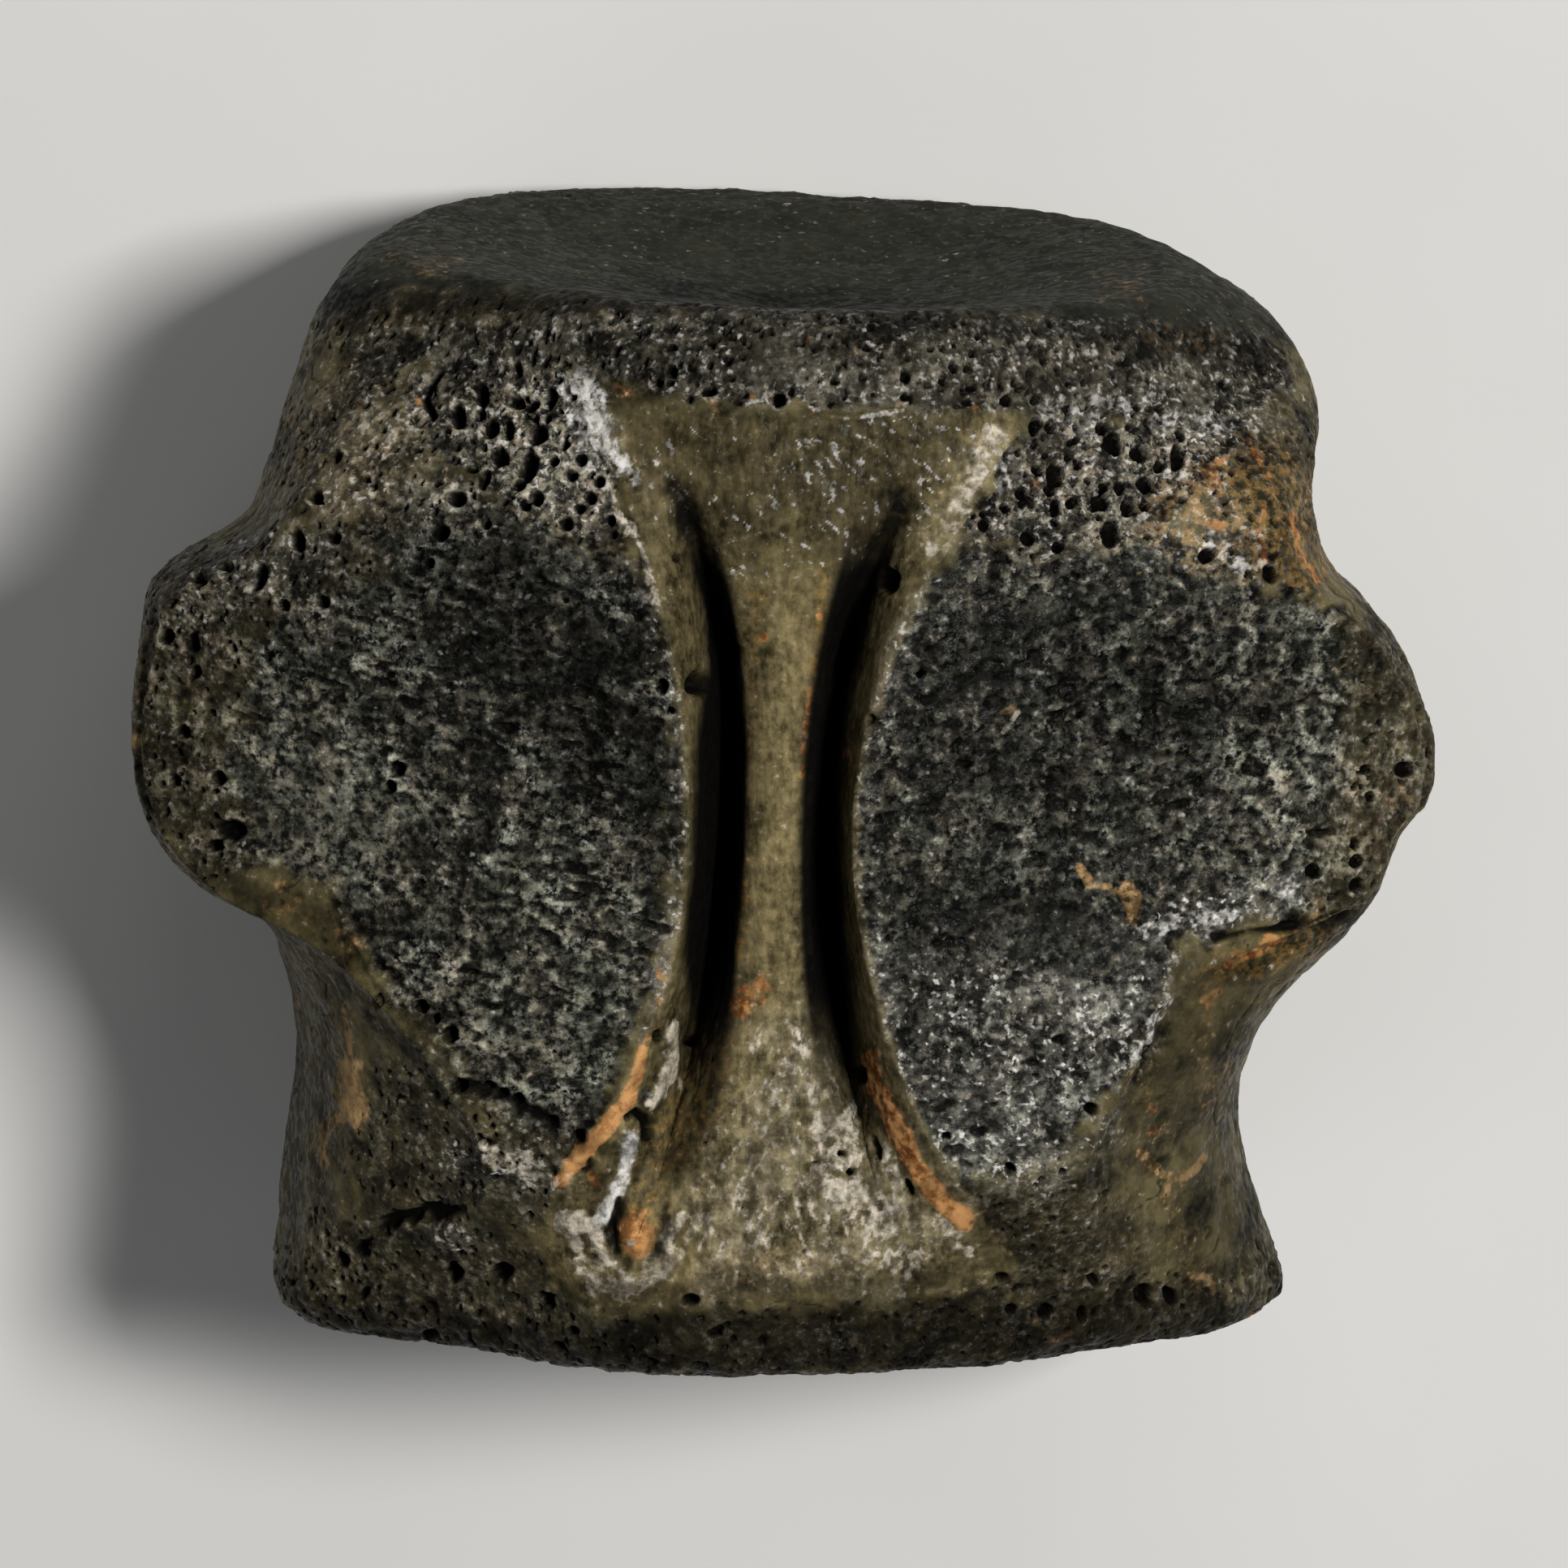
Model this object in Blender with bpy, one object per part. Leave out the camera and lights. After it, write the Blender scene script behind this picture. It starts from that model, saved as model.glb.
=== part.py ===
"""A fossil reptile centrum, the spool of a back vertebra without its arch, lying on its belly.

+X is the bone's right as seen in the photograph, +Y the end nearer the rib wings, +Z up.
The bone's own heights are measured down from the crest of the arch facets. The finished
piece is then moved so that its box is centred over the origin, with its worn flats at Z = 0.
"""

import math

import bmesh
import bpy
import numpy as np
from mathutils import Vector

MM = 0.001

# The spool: its two ends, how deep it is, and how much of its lowest part is worn flat.
END_LOW = -12.45 * MM
END_HIGH = 11.85 * MM
AXIS_DEPTH = 9.6 * MM
BELLY_DEPTH = 19.0 * MM
BELLY_ARCH = 1.9 * MM
BELLY_ARCH_ENDS = (-9.6 * MM, 9.6 * MM)
WORN_FLAT = 0.4 * MM
RIM_ROUND_LOW = 1.15 * MM
RIM_ROUND_HIGH = 1.6 * MM
FACE_LEAN = 0.040
FACE_SKEW = 0.040
FACE_LEAN_FROM = 4.0 * MM
FACE_DISH = 0.95 * MM
FACE_DIMPLE = 0.35 * MM

# Half widths along the length, as (place along Y, half width) in millimetres. The waist is
# the spool at its middle height, the outline its widest reach, and the shoulder the edge of
# the arch facets. The first of each pair is the left side, the second the right.
LEFT, RIGHT = 0, 1
SIGN = (-1, 1)
WAIST = (
    ((-12.4, 11.8), (-9.0, 11.3), (-6.0, 10.9), (-2.5, 10.0), (1.0, 9.6), (5.0, 10.4),
     (8.2, 11.1), (10.0, 10.7), (11.8, 9.9)),
    ((-12.4, 11.5), (-9.0, 10.4), (-6.0, 10.2), (-2.5, 9.9), (1.0, 9.6), (5.0, 10.6),
     (8.4, 11.9), (10.0, 11.5), (11.8, 10.3)),
)
OUTLINE = (
    ((-12.4, 11.8), (-9.0, 11.4), (-6.0, 11.0), (-4.1, 11.25), (-2.7, 11.8), (-2.0, 12.9),
     (-1.0, 13.9), (0.4, 14.5), (2.1, 14.6), (3.7, 14.4), (5.1, 13.9), (5.65, 13.0),
     (6.2, 12.15), (7.2, 11.6), (8.4, 11.2), (10.0, 10.75), (11.8, 9.9)),
    ((-12.4, 11.5), (-9.0, 10.4), (-7.0, 10.5), (-5.4, 11.15), (-4.2, 11.95), (-3.2, 12.8),
     (-2.2, 13.25), (-0.6, 13.8), (0.0, 14.3), (1.2, 14.5), (2.5, 14.25), (3.8, 13.6),
     (4.7, 12.8), (5.4, 12.1), (6.7, 11.7), (8.6, 12.0), (10.0, 11.6), (11.8, 10.3)),
)
SHOULDER = (
    ((-12.4, 8.4), (-9.0, 6.9), (-7.4, 6.7), (-5.7, 7.4), (-3.9, 8.9), (-2.7, 10.6),
     (-2.0, 12.3), (-1.0, 13.5), (0.4, 14.15), (2.1, 14.3), (3.7, 14.1), (5.0, 13.6),
     (5.6, 12.6), (6.3, 11.5), (8.2, 10.0), (10.0, 9.0), (11.8, 7.5)),
    ((-12.4, 8.4), (-9.0, 6.9), (-7.4, 6.7), (-6.4, 7.2), (-5.2, 7.8), (-3.9, 8.3),
     (-3.1, 9.5), (-2.4, 11.6), (-1.7, 12.9), (-0.6, 13.5), (0.1, 14.05), (1.2, 14.25),
     (2.5, 13.95), (3.8, 13.3), (4.7, 12.4), (5.5, 11.5), (7.0, 10.8), (9.0, 10.2),
     (11.8, 8.0)),
)

# The rib wings: where they stand along Y, how far they spread, and how thick they end.
WING_MIDDLE = 1.8 * MM
WING_SPREAD = (4.7 * MM, 5.5 * MM)
WING_EDGE_DEPTH = 5.3 * MM
WING_THICK = 2.3 * MM
WING_TUCK = 0.55 * MM
WAIST_DROP = 0.7 * MM

# The flank away from the wings: its widest line, and how full the curves above and below are.
OUTLINE_DEPTH = 8.2 * MM
OUTLINE_THICK = 0.6 * MM
BULGE_OUT = 0.70
BULGE_DOWN = 0.42
TUCK_IN = 0.28
TUCK_DOWN = 0.62
BELLY_POWER_LOW = 2.35
BELLY_POWER_HIGH = 2.4
BELLY_TURNS = (0.22, 0.44, 0.64, 0.82, 1.0)

# The crown of the upper side, flatter across the facets than at the two ends.
CROWN_FACETS = 26.0 * MM
CROWN_ENDS = 11.8 * MM
CROWN_FALL = 0.9 * MM
CROWN_TURN_HIGH = (5.0 * MM, 11.0 * MM)
CROWN_TURN_LOW = (6.0 * MM, 11.5 * MM)
FACET_LIP = 0.32 * MM
FACET_LIP_ENDS = (-9.5 * MM, 8.5 * MM)
EDGE_LIP = 0.08 * MM
FACET_HOLLOW = 0.28 * MM
HOLLOW_PLACE = (7.5 * MM, 0.5 * MM)
HOLLOW_SPREAD = (3.2 * MM, 3.6 * MM)

# The floor of the nerve canal: an hourglass with a keel between two deep grooves. Each line
# is (half width at the throat, throat along Y, (rise, power) up Y, (rise, power) down Y).
CANAL_EDGE = ((2.15, 0.6, (0.0222, 2.08), (0.0272, 2.19)),
              (1.60, 0.5, (0.0788, 1.79), (0.0269, 2.10)))
GROOVE = ((1.27, 1.7, (0.0203, 2.20), (0.0215, 1.90)),
          (1.00, 0.0, (0.0125, 2.40), (0.0166, 2.00)))
KEEL = ((0.72, 1.6, (0.0210, 2.15), (0.0085, 2.15)),
        (0.52, -0.8, (0.0105, 2.30), (0.0125, 2.20)))
EDGE_MOST = 5.2 * MM
WALL_LEAST = 0.35 * MM
SLOPE_LEAST = 0.30 * MM
CANAL_MIDDLE = -0.3 * MM
CANAL_ENDS = (-10.3 * MM, 9.7 * MM)
GROOVE_ENDS = (-8.4 * MM, 7.9 * MM)
KEEL_DEPTH = 1.45 * MM
KEEL_CROWN = 0.22 * MM
GROOVE_DEPTH = 2.2 * MM
WALL_ROUND = 1.9
KEEL_ROUND = 2.2

# Vessel holes in the canal walls and in the belly, as (x, y, radius, lean towards +X).
CANAL_HOLES = ((-1.98, 3.55, 0.26, 0.9), (2.25, 5.85, 0.27, -0.9), (-2.55, -4.15, 0.21, 0.7),
               (-3.30, -6.10, 0.34, 0.5), (1.78, -5.15, 0.24, -0.8), (2.15, -6.65, 0.24, -0.6))
BELLY_HOLES = ((-2.1, 0.9, 0.42, 0.25), (1.8, 0.2, 0.38, -0.25))
HOLE_DEPTH = 1.1 * MM
HOLE_MARGIN = 0.6 * MM
HOLE_TAPER = 0.55
HOLE_SIDES = 10

# Slow swells of the surface, as (height in mm, waves in radians per metre along XYZ, start).
SWELLS = ((0.10, (610, 240, 350), 0.4), (0.08, (-330, 700, 280), 2.1),
          (0.07, (420, -510, 760), 4.0), (0.05, (980, 830, -620), 1.3))
SWELL_FADE = 3.0 * MM

# How finely the solid is divided.
FACET_COLUMNS = 8
CANAL_COLUMNS = 4
FLANK_COLUMNS = 22
FLANK_CROWDING = 1.3
CURVE_STEPS = 12
BODY_RINGS = 50
RIM_RINGS = 4
FACE_RINGS = 5

BONE_COLOUR = (0.055, 0.052, 0.042, 1.0)
BONE_ROUGHNESS = 0.55


def mix(a, b, share):
    """a at share 0 and b at share 1."""
    return a + (b - a) * share


def eased(x, low, high):
    """0 below low, 1 above high, and a smooth step between."""
    t = np.clip((x - low) / (high - low), 0.0, 1.0)
    return t * t * (3.0 - 2.0 * t)


def bell(y, middle, ends):
    """1 at middle and 0 at both ends, with a broad top and smooth feet."""
    low, high = ends
    t = np.where(y > middle, (y - middle) / (high - middle), (middle - y) / (middle - low))
    return (1.0 - np.clip(t, 0.0, 1.0) ** 2.2) ** 1.5


def along(y, knots):
    """A smooth curve in metres through (place, value) knots that are given in millimetres."""
    place, value = np.array(knots).T * MM
    secant = np.diff(value) / np.diff(place)
    slope = np.concatenate([secant[:1], (secant[1:] + secant[:-1]) / 2, secant[-1:]])
    y = np.clip(y, place[0], place[-1])
    i = np.clip(np.searchsorted(place, y) - 1, 0, len(place) - 2)
    step = place[i + 1] - place[i]
    t = (y - place[i]) / step
    leaving = slope[i] * (t**3 - 2 * t**2 + t)
    arriving = slope[i + 1] * (t**3 - t**2)
    return mix(value[i], value[i + 1], 3 * t**2 - 2 * t**3) + step * (leaving + arriving)


def hourglass(y, line):
    """The half width of a waisted line at y, which flares by a power law to each side."""
    throat, middle, (rise_up, power_up), (rise_down, power_down) = line
    away = y / MM - middle
    flare = np.where(away > 0, rise_up * np.abs(away) ** power_up,
                     rise_down * np.abs(away) ** power_down)
    return (throat + flare) * MM


def wing_share(y, side):
    """How much of a rib wing the section at y has, from 0 to 1."""
    return np.exp(-np.abs((y - WING_MIDDLE) / WING_SPREAD[side]) ** 3)


def canal_lines(y, side):
    """The half widths of the canal's edge, groove and keel at y, on one side."""
    edge = np.minimum(hourglass(y, CANAL_EDGE[side]), EDGE_MOST)
    groove = np.minimum(hourglass(y, GROOVE[side]), edge - WALL_LEAST)
    keel = np.minimum(hourglass(y, KEEL[side]), groove - SLOPE_LEAST)
    return edge, groove, keel


def crown_height(x, y):
    """The height of the upper side before the canal is cut in it."""
    toward_end = np.maximum(eased(y, *CROWN_TURN_HIGH), eased(-y, *CROWN_TURN_LOW))
    radius = mix(CROWN_FACETS, CROWN_ENDS, toward_end)
    sag = radius - np.sqrt(radius**2 - x**2)
    across = (np.abs(x) - HOLLOW_PLACE[0]) / HOLLOW_SPREAD[0]
    lengthwise = (y - HOLLOW_PLACE[1]) / HOLLOW_SPREAD[1]
    hollow = FACET_HOLLOW * np.exp(-across**2 - lengthwise**2)
    return -CROWN_FALL * toward_end - sag - hollow


def canal_drop(x, y, side):
    """How far the canal lies below the crown at half width x on one side."""
    edge, groove, keel = canal_lines(y, side)
    floor = bell(y, CANAL_MIDDLE, CANAL_ENDS)
    keel_top = KEEL_DEPTH * floor
    keel_side = keel_top + KEEL_CROWN * floor
    bottom = keel_side + GROOVE_DEPTH * bell(y, CANAL_MIDDLE, GROOVE_ENDS)
    up_wall = 1.0 - (1.0 - np.clip((x - groove) / (edge - groove), 0.0, 1.0)) ** WALL_ROUND
    up_keel = 1.0 - (1.0 - np.clip((groove - x) / (groove - keel), 0.0, 1.0)) ** KEEL_ROUND
    on_keel = mix(keel_top, keel_side, np.clip(x / keel, 0.0, 1.0) ** 2)
    on_slope = mix(bottom, keel_side, up_keel)
    on_wall = bottom * (1.0 - up_wall)
    return np.where(x <= keel, on_keel, np.where(x <= groove, on_slope, on_wall))


def upper_height(x, y):
    """The height of the upper side, with the canal, its grooves and its keel."""
    left = canal_drop(np.abs(x), y, LEFT)
    right = canal_drop(np.abs(x), y, RIGHT)
    return crown_height(x, y) - np.where(x < 0, left, right)


def upper_side(y):
    """Points from the left shoulder to the right one, as x and z for each y."""
    left = [-along(y, SHOULDER[LEFT]), *(-half for half in canal_lines(y, LEFT))]
    right = [*reversed(canal_lines(y, RIGHT)), along(y, SHOULDER[RIGHT])]
    lines = [*left, *right]
    counts = [FACET_COLUMNS, *[CANAL_COLUMNS] * 5, FACET_COLUMNS]
    runs = [mix(a[:, None], b[:, None], np.arange(n) / n)
            for a, b, n in zip(lines[:-1], lines[1:], counts)]
    x = np.concatenate([*runs, lines[-1][:, None]], axis=1)
    return np.stack([x, upper_height(x, y[:, None])], axis=2)


def flank_guides(y, side):
    """Guide points down one flank, from the shoulder to the middle of the belly."""
    share = wing_share(y, side)
    shoulder = along(y, SHOULDER[side])
    outline = along(y, OUTLINE[side])
    waist = along(y, WAIST[side])
    crest = crown_height(shoulder, y)
    widest = -mix(OUTLINE_DEPTH, WING_EDGE_DEPTH, share)
    under = widest - mix(OUTLINE_THICK, WING_THICK, share)
    middle = -AXIS_DEPTH - WAIST_DROP * share
    belly = -BELLY_DEPTH + BELLY_ARCH * bell(y, 0.0, BELLY_ARCH_ENDS)
    lip = EDGE_LIP + FACET_LIP * bell(y, 0.0, FACET_LIP_ENDS)
    guides = [
        (shoulder, crest),
        (shoulder + EDGE_LIP, crest - lip),
        (mix(shoulder, outline, BULGE_OUT), mix(crest, widest, BULGE_DOWN)),
        (outline, widest),
        (outline - WING_TUCK * share, under),
        (mix(waist, outline, TUCK_IN), mix(under, middle, TUCK_DOWN)),
        (waist, middle),
    ]
    power = 2.0 / mix(BELLY_POWER_LOW, BELLY_POWER_HIGH, eased(y, 0.0, END_HIGH))
    for turn in BELLY_TURNS:
        across = max(math.cos(turn * math.pi / 2), 0.0) ** power
        down = math.sin(turn * math.pi / 2) ** power
        guides.append((waist * across, mix(middle, belly, down)))
    return np.stack([np.stack(guide, axis=1) for guide in guides], axis=1)


def curve_through(guides):
    """A centripetal curve through each row of guide points, CURVE_STEPS points to a span."""
    before = 2 * guides[:, :1] - guides[:, 1:2]
    after = guides[:, -2:-1] * (-1, 1)
    p = np.concatenate([before, guides, after], axis=1)
    gaps = np.maximum(np.linalg.norm(np.diff(p, axis=1), axis=2, keepdims=True), 1e-6) ** 0.5
    a, b, c, d = p[:, :-3], p[:, 1:-2], p[:, 2:-1], p[:, 3:]
    ab, bc, cd = gaps[:, :-2], gaps[:, 1:-1], gaps[:, 2:]
    leave = bc * ((b - a) / ab - (c - a) / (ab + bc)) + (c - b)
    arrive = bc * ((d - c) / cd - (d - b) / (bc + cd)) + (c - b)
    spans = []
    for t in np.arange(CURVE_STEPS) / CURVE_STEPS:
        point = mix(b, c, 3 * t**2 - 2 * t**3)
        spans.append(point + (t**3 - 2 * t**2 + t) * leave + (t**3 - t**2) * arrive)
    curve = np.stack(spans, axis=2).reshape(len(guides), -1, 2)
    return np.concatenate([curve, guides[:, -1:]], axis=1)


def flank(y, side):
    """Points down one flank, crowded near the shoulder, which is itself left out."""
    curve = curve_through(flank_guides(y, side))
    steps = np.linalg.norm(np.diff(curve, axis=1), axis=2)
    length = np.concatenate([np.zeros((len(y), 1)), np.cumsum(steps, axis=1)], axis=1)
    wanted = (np.arange(1, FLANK_COLUMNS + 1) / FLANK_COLUMNS) ** FLANK_CROWDING
    points = np.empty((len(y), FLANK_COLUMNS, 2))
    for row, run, line in zip(points, length, curve):
        row[:, 0] = SIGN[side] * np.interp(wanted * run[-1], run, line[:, 0])
        row[:, 1] = np.interp(wanted * run[-1], run, line[:, 1])
    return points


def body_rings():
    """The rings of the spool from end to end, each with its points in order round it."""
    turn = np.arange(1, RIM_RINGS + 1) / RIM_RINGS * math.pi / 2
    low = END_LOW + RIM_ROUND_LOW * (1 - np.sin(turn))
    high = END_HIGH - RIM_ROUND_HIGH * (1 - np.sin(turn))
    body = np.linspace(END_LOW + RIM_ROUND_LOW, END_HIGH - RIM_ROUND_HIGH, BODY_RINGS)
    y = np.concatenate([low[::-1], body, high])
    inset_low = RIM_ROUND_LOW * (1 - np.cos(turn))
    inset_high = RIM_ROUND_HIGH * (1 - np.cos(turn))
    inset = np.concatenate([inset_low[::-1], np.zeros(BODY_RINGS), inset_high])
    left = flank(y, LEFT)[:, -2::-1]
    section = np.concatenate([upper_side(y), flank(y, RIGHT), left], axis=1)
    out = section + (0.0, AXIS_DEPTH)
    out /= np.linalg.norm(out, axis=2, keepdims=True)
    section = section - out * inset[:, None, None]
    lengthwise = np.broadcast_to(y[:, None], section.shape[:2])
    return np.stack([section[..., 0], lengthwise, section[..., 1]], axis=2)


def face_rings(rim, inward):
    """The rings that close one end, dished towards inward, and the point at their middle."""
    centre = np.array([0.0, rim[0, 1], -AXIS_DEPTH])
    made = []
    for share in np.arange(1, FACE_RINGS) / FACE_RINGS:
        ring = mix(rim, centre, share)
        ring[:, 1] += inward * FACE_DISH * eased(share, -0.05, 0.75)
        ring[:, 1] += inward * FACE_DIMPLE * eased(share, 0.7, 1.0)
        made.append(ring)
    centre[1] += inward * (FACE_DISH + FACE_DIMPLE)
    return made, centre


def weathered(points):
    """Pushes points in or out from the bone's axis by slow waves, and turns the +Y face."""
    out = points * (1.0, 0.0, 1.0) + (0.0, 0.0, AXIS_DEPTH)
    far = np.linalg.norm(out, axis=-1, keepdims=True)
    height = np.zeros(far.shape)
    for size, waves, start in SWELLS:
        height += size * MM * np.sin(points @ np.array(waves) + start)[..., None]
    moved = points + out / np.maximum(far, MM) * height * np.clip(far / SWELL_FADE, 0.0, 1.0)
    turned = FACE_LEAN * out[..., 2] + FACE_SKEW * out[..., 0]
    moved[..., 1] -= turned * eased(points[..., 1], FACE_LEAN_FROM, END_HIGH)
    return moved


def bone_material():
    """Dark mineral-stained bone."""
    material = bpy.data.materials.new("fossil_bone")
    material.use_nodes = True
    shader = material.node_tree.nodes["Principled BSDF"]
    shader.inputs["Base Color"].default_value = BONE_COLOUR
    shader.inputs["Roughness"].default_value = BONE_ROUGHNESS
    shader.inputs["Metallic"].default_value = 0.0
    return material


def close_end(bm, ring, centre):
    """Closes one end of the spool with a fan of triangles from its middle point."""
    middle = bm.verts.new(centre)
    for first, second in zip(ring, ring[1:] + ring[:1]):
        bm.faces.new((first, second, middle))


def wear_flat(bm, height):
    """Cuts the lowest parts away at one height and closes them with true flats."""
    everything = [*bm.verts, *bm.edges, *bm.faces]
    cut = bmesh.ops.bisect_plane(bm, geom=everything, plane_co=(0, 0, height),
                                 plane_no=(0, 0, -1), clear_outer=True)
    edges = [item for item in cut["geom_cut"] if isinstance(item, bmesh.types.BMEdge)]
    bmesh.ops.holes_fill(bm, edges=edges)


def spool_mesh():
    """The whole bone as one closed mesh: dished face, rings, and the other dished face."""
    body = body_rings()
    low_rings, low_centre = face_rings(body[0], 1.0)
    high_rings, high_centre = face_rings(body[-1], -1.0)
    bm = bmesh.new()
    rings = [[bm.verts.new(point) for point in weathered(ring)]
             for ring in [*reversed(low_rings), *body, *high_rings]]
    for first, second in zip(rings[:-1], rings[1:]):
        for i in range(len(first)):
            bm.faces.new((first[i - 1], first[i], second[i], second[i - 1]))
    close_end(bm, rings[0], weathered(low_centre))
    close_end(bm, rings[-1], weathered(high_centre))
    wear_flat(bm, -BELLY_DEPTH + WORN_FLAT)
    bmesh.ops.recalc_face_normals(bm, faces=bm.faces)
    mesh = bpy.data.meshes.new("vertebra")
    bm.to_mesh(mesh)
    bm.free()
    mesh.shade_smooth()
    mesh.set_sharp_from_angle(angle=math.radians(50))
    return mesh


def hole_cutter(name, hole, surface, inward, cutters):
    """A tapered cutter for one vessel hole, sunk from its surface height into the bone."""
    x, y, radius, lean = hole
    bm = bmesh.new()
    bmesh.ops.create_cone(bm, cap_ends=True, segments=HOLE_SIDES, radius1=radius * MM,
                          radius2=radius * HOLE_TAPER * MM, depth=HOLE_DEPTH + HOLE_MARGIN)
    mesh = bpy.data.meshes.new(name)
    bm.to_mesh(mesh)
    bm.free()
    cutter = bpy.data.objects.new(name, mesh)
    cutters.objects.link(cutter)
    down = Vector((lean, 0.0, inward)).normalized()
    cutter.rotation_euler = down.to_track_quat("Z", "Y").to_euler()
    cutter.location = Vector((x * MM, y * MM, surface)) + down * (HOLE_DEPTH - HOLE_MARGIN) / 2
    cutter.hide_render = True
    cutter.display_type = "WIRE"
    return cutter


def hole_cutters():
    """The cutters of all the vessel holes, in a collection of their own."""
    cutters = bpy.data.collections.new("vessel_hole_cutters")
    bpy.context.scene.collection.children.link(cutters)
    for i, hole in enumerate(CANAL_HOLES):
        surface = float(upper_height(hole[0] * MM, hole[1] * MM))
        hole_cutter(f"canal_hole_{i + 1}", hole, surface, -1.0, cutters)
    for i, hole in enumerate(BELLY_HOLES):
        surface = -BELLY_DEPTH + BELLY_ARCH
        hole_cutter(f"belly_hole_{i + 1}", hole, surface, 1.0, cutters)
    return cutters


def make_vertebra():
    """The bone with its vessel holes, standing centred on the origin."""
    bone = bpy.data.objects.new("vertebra", spool_mesh())
    bpy.context.scene.collection.objects.link(bone)
    bone.data.materials.append(bone_material())
    cutters = hole_cutters()
    for cutter in cutters.objects:
        cutter.parent = bone
    holes = bone.modifiers.new("vessel_holes", "BOOLEAN")
    holes.operation = "DIFFERENCE"
    holes.operand_type = "COLLECTION"
    holes.collection = cutters
    holes.solver = "EXACT"
    points = np.array([vertex.co for vertex in bone.data.vertices])
    low, high = points.min(axis=0), points.max(axis=0)
    bone.location = (-(low[0] + high[0]) / 2, -(low[1] + high[1]) / 2, -low[2])
    return bone


def main():
    """Empties the scene and models the bone."""
    for old in list(bpy.data.objects):
        bpy.data.objects.remove(old, do_unlink=True)
    make_vertebra()


if __name__ == "__main__":
    main()
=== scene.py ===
"""Dresses a fossil reptile vertebra, the spool of a back vertebra without its arch.

The bone's shape is worked out again, far more finely, from the same sizes as its solid, and
is then carved with the grain, pores and crusts of the real surface. Lengths are millimetres
in the bone's own frame: +X its right side in the photograph, +Y the end nearer the rib
wings, +Z up, with heights measured down from the crest of the arch facets.
"""

import logging
import math
from collections.abc import Sequence
from dataclasses import dataclass, field
from enum import Enum

import bpy
import numpy as np
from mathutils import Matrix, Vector


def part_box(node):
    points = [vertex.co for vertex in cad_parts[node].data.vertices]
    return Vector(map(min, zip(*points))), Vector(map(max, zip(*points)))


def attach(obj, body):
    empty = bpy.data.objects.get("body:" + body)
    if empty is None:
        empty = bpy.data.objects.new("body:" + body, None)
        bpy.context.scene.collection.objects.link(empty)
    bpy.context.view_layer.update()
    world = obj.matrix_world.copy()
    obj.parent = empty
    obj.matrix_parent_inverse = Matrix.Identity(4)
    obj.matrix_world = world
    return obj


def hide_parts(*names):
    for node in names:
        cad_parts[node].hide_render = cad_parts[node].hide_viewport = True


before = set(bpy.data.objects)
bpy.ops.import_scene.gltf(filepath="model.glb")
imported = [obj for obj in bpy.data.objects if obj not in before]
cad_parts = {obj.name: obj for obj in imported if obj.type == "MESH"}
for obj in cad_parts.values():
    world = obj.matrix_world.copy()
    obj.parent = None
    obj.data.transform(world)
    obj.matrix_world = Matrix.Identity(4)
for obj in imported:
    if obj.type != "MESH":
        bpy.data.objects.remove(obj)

LOG = logging.getLogger("vertebra")
MM = 0.001
AXIS_SHIFT = 31.7

Array = np.ndarray
Values = Array | float
Span = tuple[float, float]
Knots = Sequence[Span]
Vector3 = tuple[float, float, float]
Colour = tuple[float, float, float]
# A line on the photograph: how far across and down its corners lie, in turn.
Pixels = Sequence[float]


class Side(Enum):
    """A side of the bone, as its sign along X."""

    LEFT = -1
    RIGHT = 1


class Stain(Enum):
    """The kinds of mineral on the bone, each with its channel in the stains attribute."""

    RUST = 0
    CREAM = 1
    TAN = 2
    CHALK = 3


class Tone(Enum):
    """Broad differences of brightness and glitter, by channel in the tones attribute, with painted
    shade, a painted highlight and painted glints among them.
    """

    PALE = 0
    DARK_AND_SHADE = 1
    GLITTER = 2
    OCHRE = 3


class Zone(Enum):
    """The kinds of bone surface, each with its channel in the zones attribute."""

    FACET = 0
    CANAL = 1
    SPONGY = 2
    END_FACE = 3


def mix(a: Values, b: Values, share: Values) -> Values:
    """a at share 0 and b at share 1."""
    return a + (b - a) * share


def eased(x: Array, low: float, high: float) -> Array:
    """0 below low, 1 above high, and a smooth step between."""
    t = np.clip((x - low) / (high - low), 0.0, 1.0)
    return t * t * (3.0 - 2.0 * t)


def bell(y: Array, middle: float, ends: Span, top: float = 2.2, foot: float = 1.5) -> Array:
    """A swell with a broad top and smooth feet.

    Args:
        y: The places to read it at.
        middle: The place where it is 1.
        ends: The places where it comes down to 0.
        top: How broad its top is.
        foot: How smooth its feet are.

    Returns:
        Its height at each place.
    """
    low, high = ends
    t = np.where(y > middle, (y - middle) / (high - middle), (middle - y) / (middle - low))
    return (1.0 - np.clip(t, 0.0, 1.0) ** top) ** foot


def along(y: Array, knots: Knots) -> Array:
    """A smooth curve through (place, value) knots.

    Args:
        y: The places to read the curve at.
        knots: Its knots, in order of place.

    Returns:
        The curve's value at each place.
    """
    place, value = np.array(knots).T
    secant = np.diff(value) / np.diff(place)
    slope = np.concatenate([secant[:1], (secant[1:] + secant[:-1]) / 2, secant[-1:]])
    y = np.clip(y, place[0], place[-1])
    i = np.clip(np.searchsorted(place, y) - 1, 0, len(place) - 2)
    step = place[i + 1] - place[i]
    t = (y - place[i]) / step
    leaving = slope[i] * (t**3 - 2 * t**2 + t)
    arriving = slope[i + 1] * (t**3 - t**2)
    return mix(value[i], value[i + 1], 3 * t**2 - 2 * t**3) + step * (leaving + arriving)


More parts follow.
